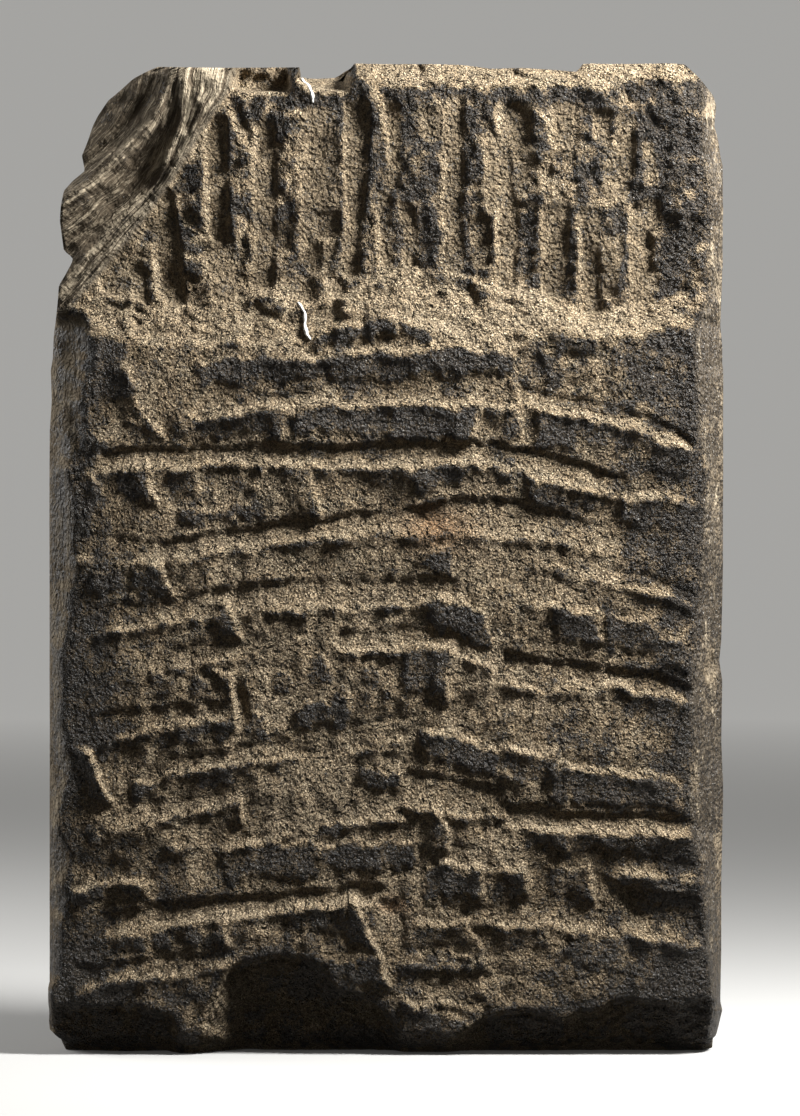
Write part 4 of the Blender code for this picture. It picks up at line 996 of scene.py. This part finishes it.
def makeDrip(name, line):
    # a bead half sunk in the stone: its middle line follows the face's depth, its section is a circle
    low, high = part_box("stone_panel")
    v = dripValues
    xs, ys = trail(line)
    run = np.concatenate([[0], np.cumsum(np.hypot(np.diff(xs), np.diff(ys)))])
    share = np.linspace(0, 1, v["steps"])
    across, down = np.interp(share * run[-1], run, xs), np.interp(share * run[-1], run, ys)
    depth = carveFace(across[None], down[None])[0][0] - v["proud"]
    depth = np.convolve(np.pad(depth, 2, mode="edge"), np.full(5, 0.2), mode="valid")
    x, z = toSpace(*setOut(across, down, depth), low, high)
    middle = np.stack([x, low[1] + 0.001 * depth, z], axis=1)
    tangent = np.gradient(middle, axis=0)
    tangent /= np.linalg.norm(tangent, axis=1, keepdims=True)
    side = np.cross(tangent, (0.0, -1.0, 0.0))
    side /= np.linalg.norm(side, axis=1, keepdims=True)
    out = np.cross(side, tangent)
    thick = v["radius"] * (0.75 + 0.45 * share + 0.25 * np.sin(share * 19))
    thick = thick * np.sqrt(np.clip(1 - (2 * share - 1) ** 8, 0.02, 1))
    turn = np.arange(v["around"]) / v["around"] * 2 * math.pi
    rings = (middle[:, None] + thick[:, None, None] * (np.cos(turn)[None, :, None] * side[:, None]
                                                       + np.sin(turn)[None, :, None] * out[:, None]))
    points = np.concatenate([rings.reshape(-1, 3), middle[:1], middle[-1:]])
    loop = np.arange(v["around"])
    last = (v["steps"] - 1) * v["around"]
    faces = [ringQuads(loop + k * v["around"], loop + (k + 1) * v["around"]) for k in range(v["steps"] - 1)]
    start, end = np.full(v["around"], last + v["around"]), np.full(v["around"], last + v["around"] + 1)
    faces.append(np.stack([np.roll(loop, -1), loop, start], axis=1))
    faces.append(np.stack([loop + last, np.roll(loop, -1) + last, end], axis=1))
    drip = meshFrom(name, points, [block[:, ::-1] for block in faces])
    material, n, shader = newMaterial(name + "Lime")
    where = n.add("ShaderNodeTexCoord").outputs["Object"]
    stain = n.times(n.step(n.noise(where, 0.0015, 3), 0.55, 0.75), 0.5)
    bump = n.add("ShaderNodeBump", {"Height": n.noise(where, 0.0006, 3), "Distance": 0.0003})
    n.feed(shader, {"Base Color": n.mix(stain, v["white"], stoneLook["dustAndShading"]), "Roughness": 0.5,
                    "Normal": bump.outputs["Normal"]})
    drip.data.materials.append(material)
    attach(drip, "root")


for number, line in enumerate(drips):
    makeDrip("limeDrip" + str(number + 1), line)
print("drips made:", len(drips))

# floor, backdrop, light and camera

stageValues = dict(
    floorRadius=4.6,                  # metres of flat floor, before it sweeps up into the backdrop
    sweepRadius=1.8,
    backdropHeight=7.0,
    tone=(0.44, 0.435, 0.42),
    glowNear=0.06,                    # even glow of the floor, and of the backdrop behind it
    glowFar=0.80,
    worldGlow=0.038,
    lightAim=(0.0, -0.03, 0.21),
    # place, width and power of each light; the key rakes the face from the upper right
    lights=dict(keyLight=((0.46, -0.22, 0.77), 0.25, 22.0), fillLight=((-0.30, -0.55, 0.80), 0.5, 0.31),
                rearLight=((-1.35, 0.60, 0.80), 1.0, 21.0)),
)


def sweepMaterial():
    # a pale matt sheet whose even glow grows with the distance from its middle, as a lit studio backdrop does
    v = stageValues
    material, n, shader = newMaterial("paleSweep")
    where = n.add("ShaderNodeTexCoord").outputs["Object"]
    away = n.add("ShaderNodeVectorMath", {0: where}, operation="LENGTH").outputs["Value"]
    glow = n.ramp(away, 0.2, v["floorRadius"], v["glowNear"], v["glowFar"])
    n.feed(shader, {"Base Color": v["tone"], "Roughness": 0.95, "Emission Color": v["tone"],
                    "Emission Strength": glow})
    return material


def makeSweep():
    # a round floor that curves up into a wall, so that no horizon shows; it throws no light back on the stone
    v = stageValues
    radii = np.linspace(0.3, v["floorRadius"], 10)
    turn = np.linspace(0, math.pi / 2, 13)[1:]
    edge, bend = v["floorRadius"], v["sweepRadius"]
    profile = [(r, 0.0) for r in radii]
    profile += [(edge + bend * math.sin(a), bend * (1 - math.cos(a))) for a in turn]
    profile.append((edge + bend, v["backdropHeight"]))
    count = 96
    angle = np.arange(count) / count * 2 * math.pi
    points = [np.column_stack([r * np.cos(angle), r * np.sin(angle), np.full(count, z)]) for r, z in profile]
    loop = np.arange(count)
    faces = [ringQuads(loop + k * count, loop + (k + 1) * count) for k in range(len(profile) - 1)]
    middle = len(profile) * count
    faces.append(np.stack([loop, np.full(count, middle), np.roll(loop, -1)], axis=1))
    points.append(np.zeros((1, 3)))
    sweep = meshFrom("sweep", np.concatenate(points), [block[:, ::-1] for block in faces])
    sweep.data.materials.append(sweepMaterial())
    sweep.visible_diffuse = False


def makeLights():
    for name, (place, size, power) in stageValues["lights"].items():
        data = bpy.data.lights.new(name, "AREA")
        data.shape = "DISK"
        data.size = size
        data.energy = power
        light = bpy.data.objects.new(name, data)
        light.location = place
        away = light.location - type(light.location)(stageValues["lightAim"])
        light.rotation_euler = away.to_track_quat("Z", "Y").to_euler()
        bpy.context.collection.objects.link(light)


def makeWorld():
    world = bpy.data.worlds.new("studio")
    world.use_nodes = True
    glow = world.node_tree.nodes["Background"].inputs
    glow["Color"].default_value = (0.83, 0.82, 0.80, 1.0)
    glow["Strength"].default_value = stageValues["worldGlow"]
    bpy.context.scene.world = world
    bpy.context.scene.view_settings.view_transform = "Standard"


cameraValues = dict(
    place=(0.0058, -2.2375, 0.205),   # metres; it looks straight at the face
    lens=172.5,
    sensor=36.0,
)


def makeCamera():
    data = bpy.data.cameras.new("photoCamera")
    data.lens = cameraValues["lens"]
    data.sensor_width = cameraValues["sensor"]
    data.clip_end = 100.0
    camera = bpy.data.objects.new("photoCamera", data)
    camera.location = cameraValues["place"]
    camera.rotation_euler = (math.radians(90), 0.0, 0.0)
    bpy.context.collection.objects.link(camera)
    bpy.context.scene.camera = camera


makeSweep()
makeWorld()
makeLights()
makeCamera()
print("stage, lights and camera made")
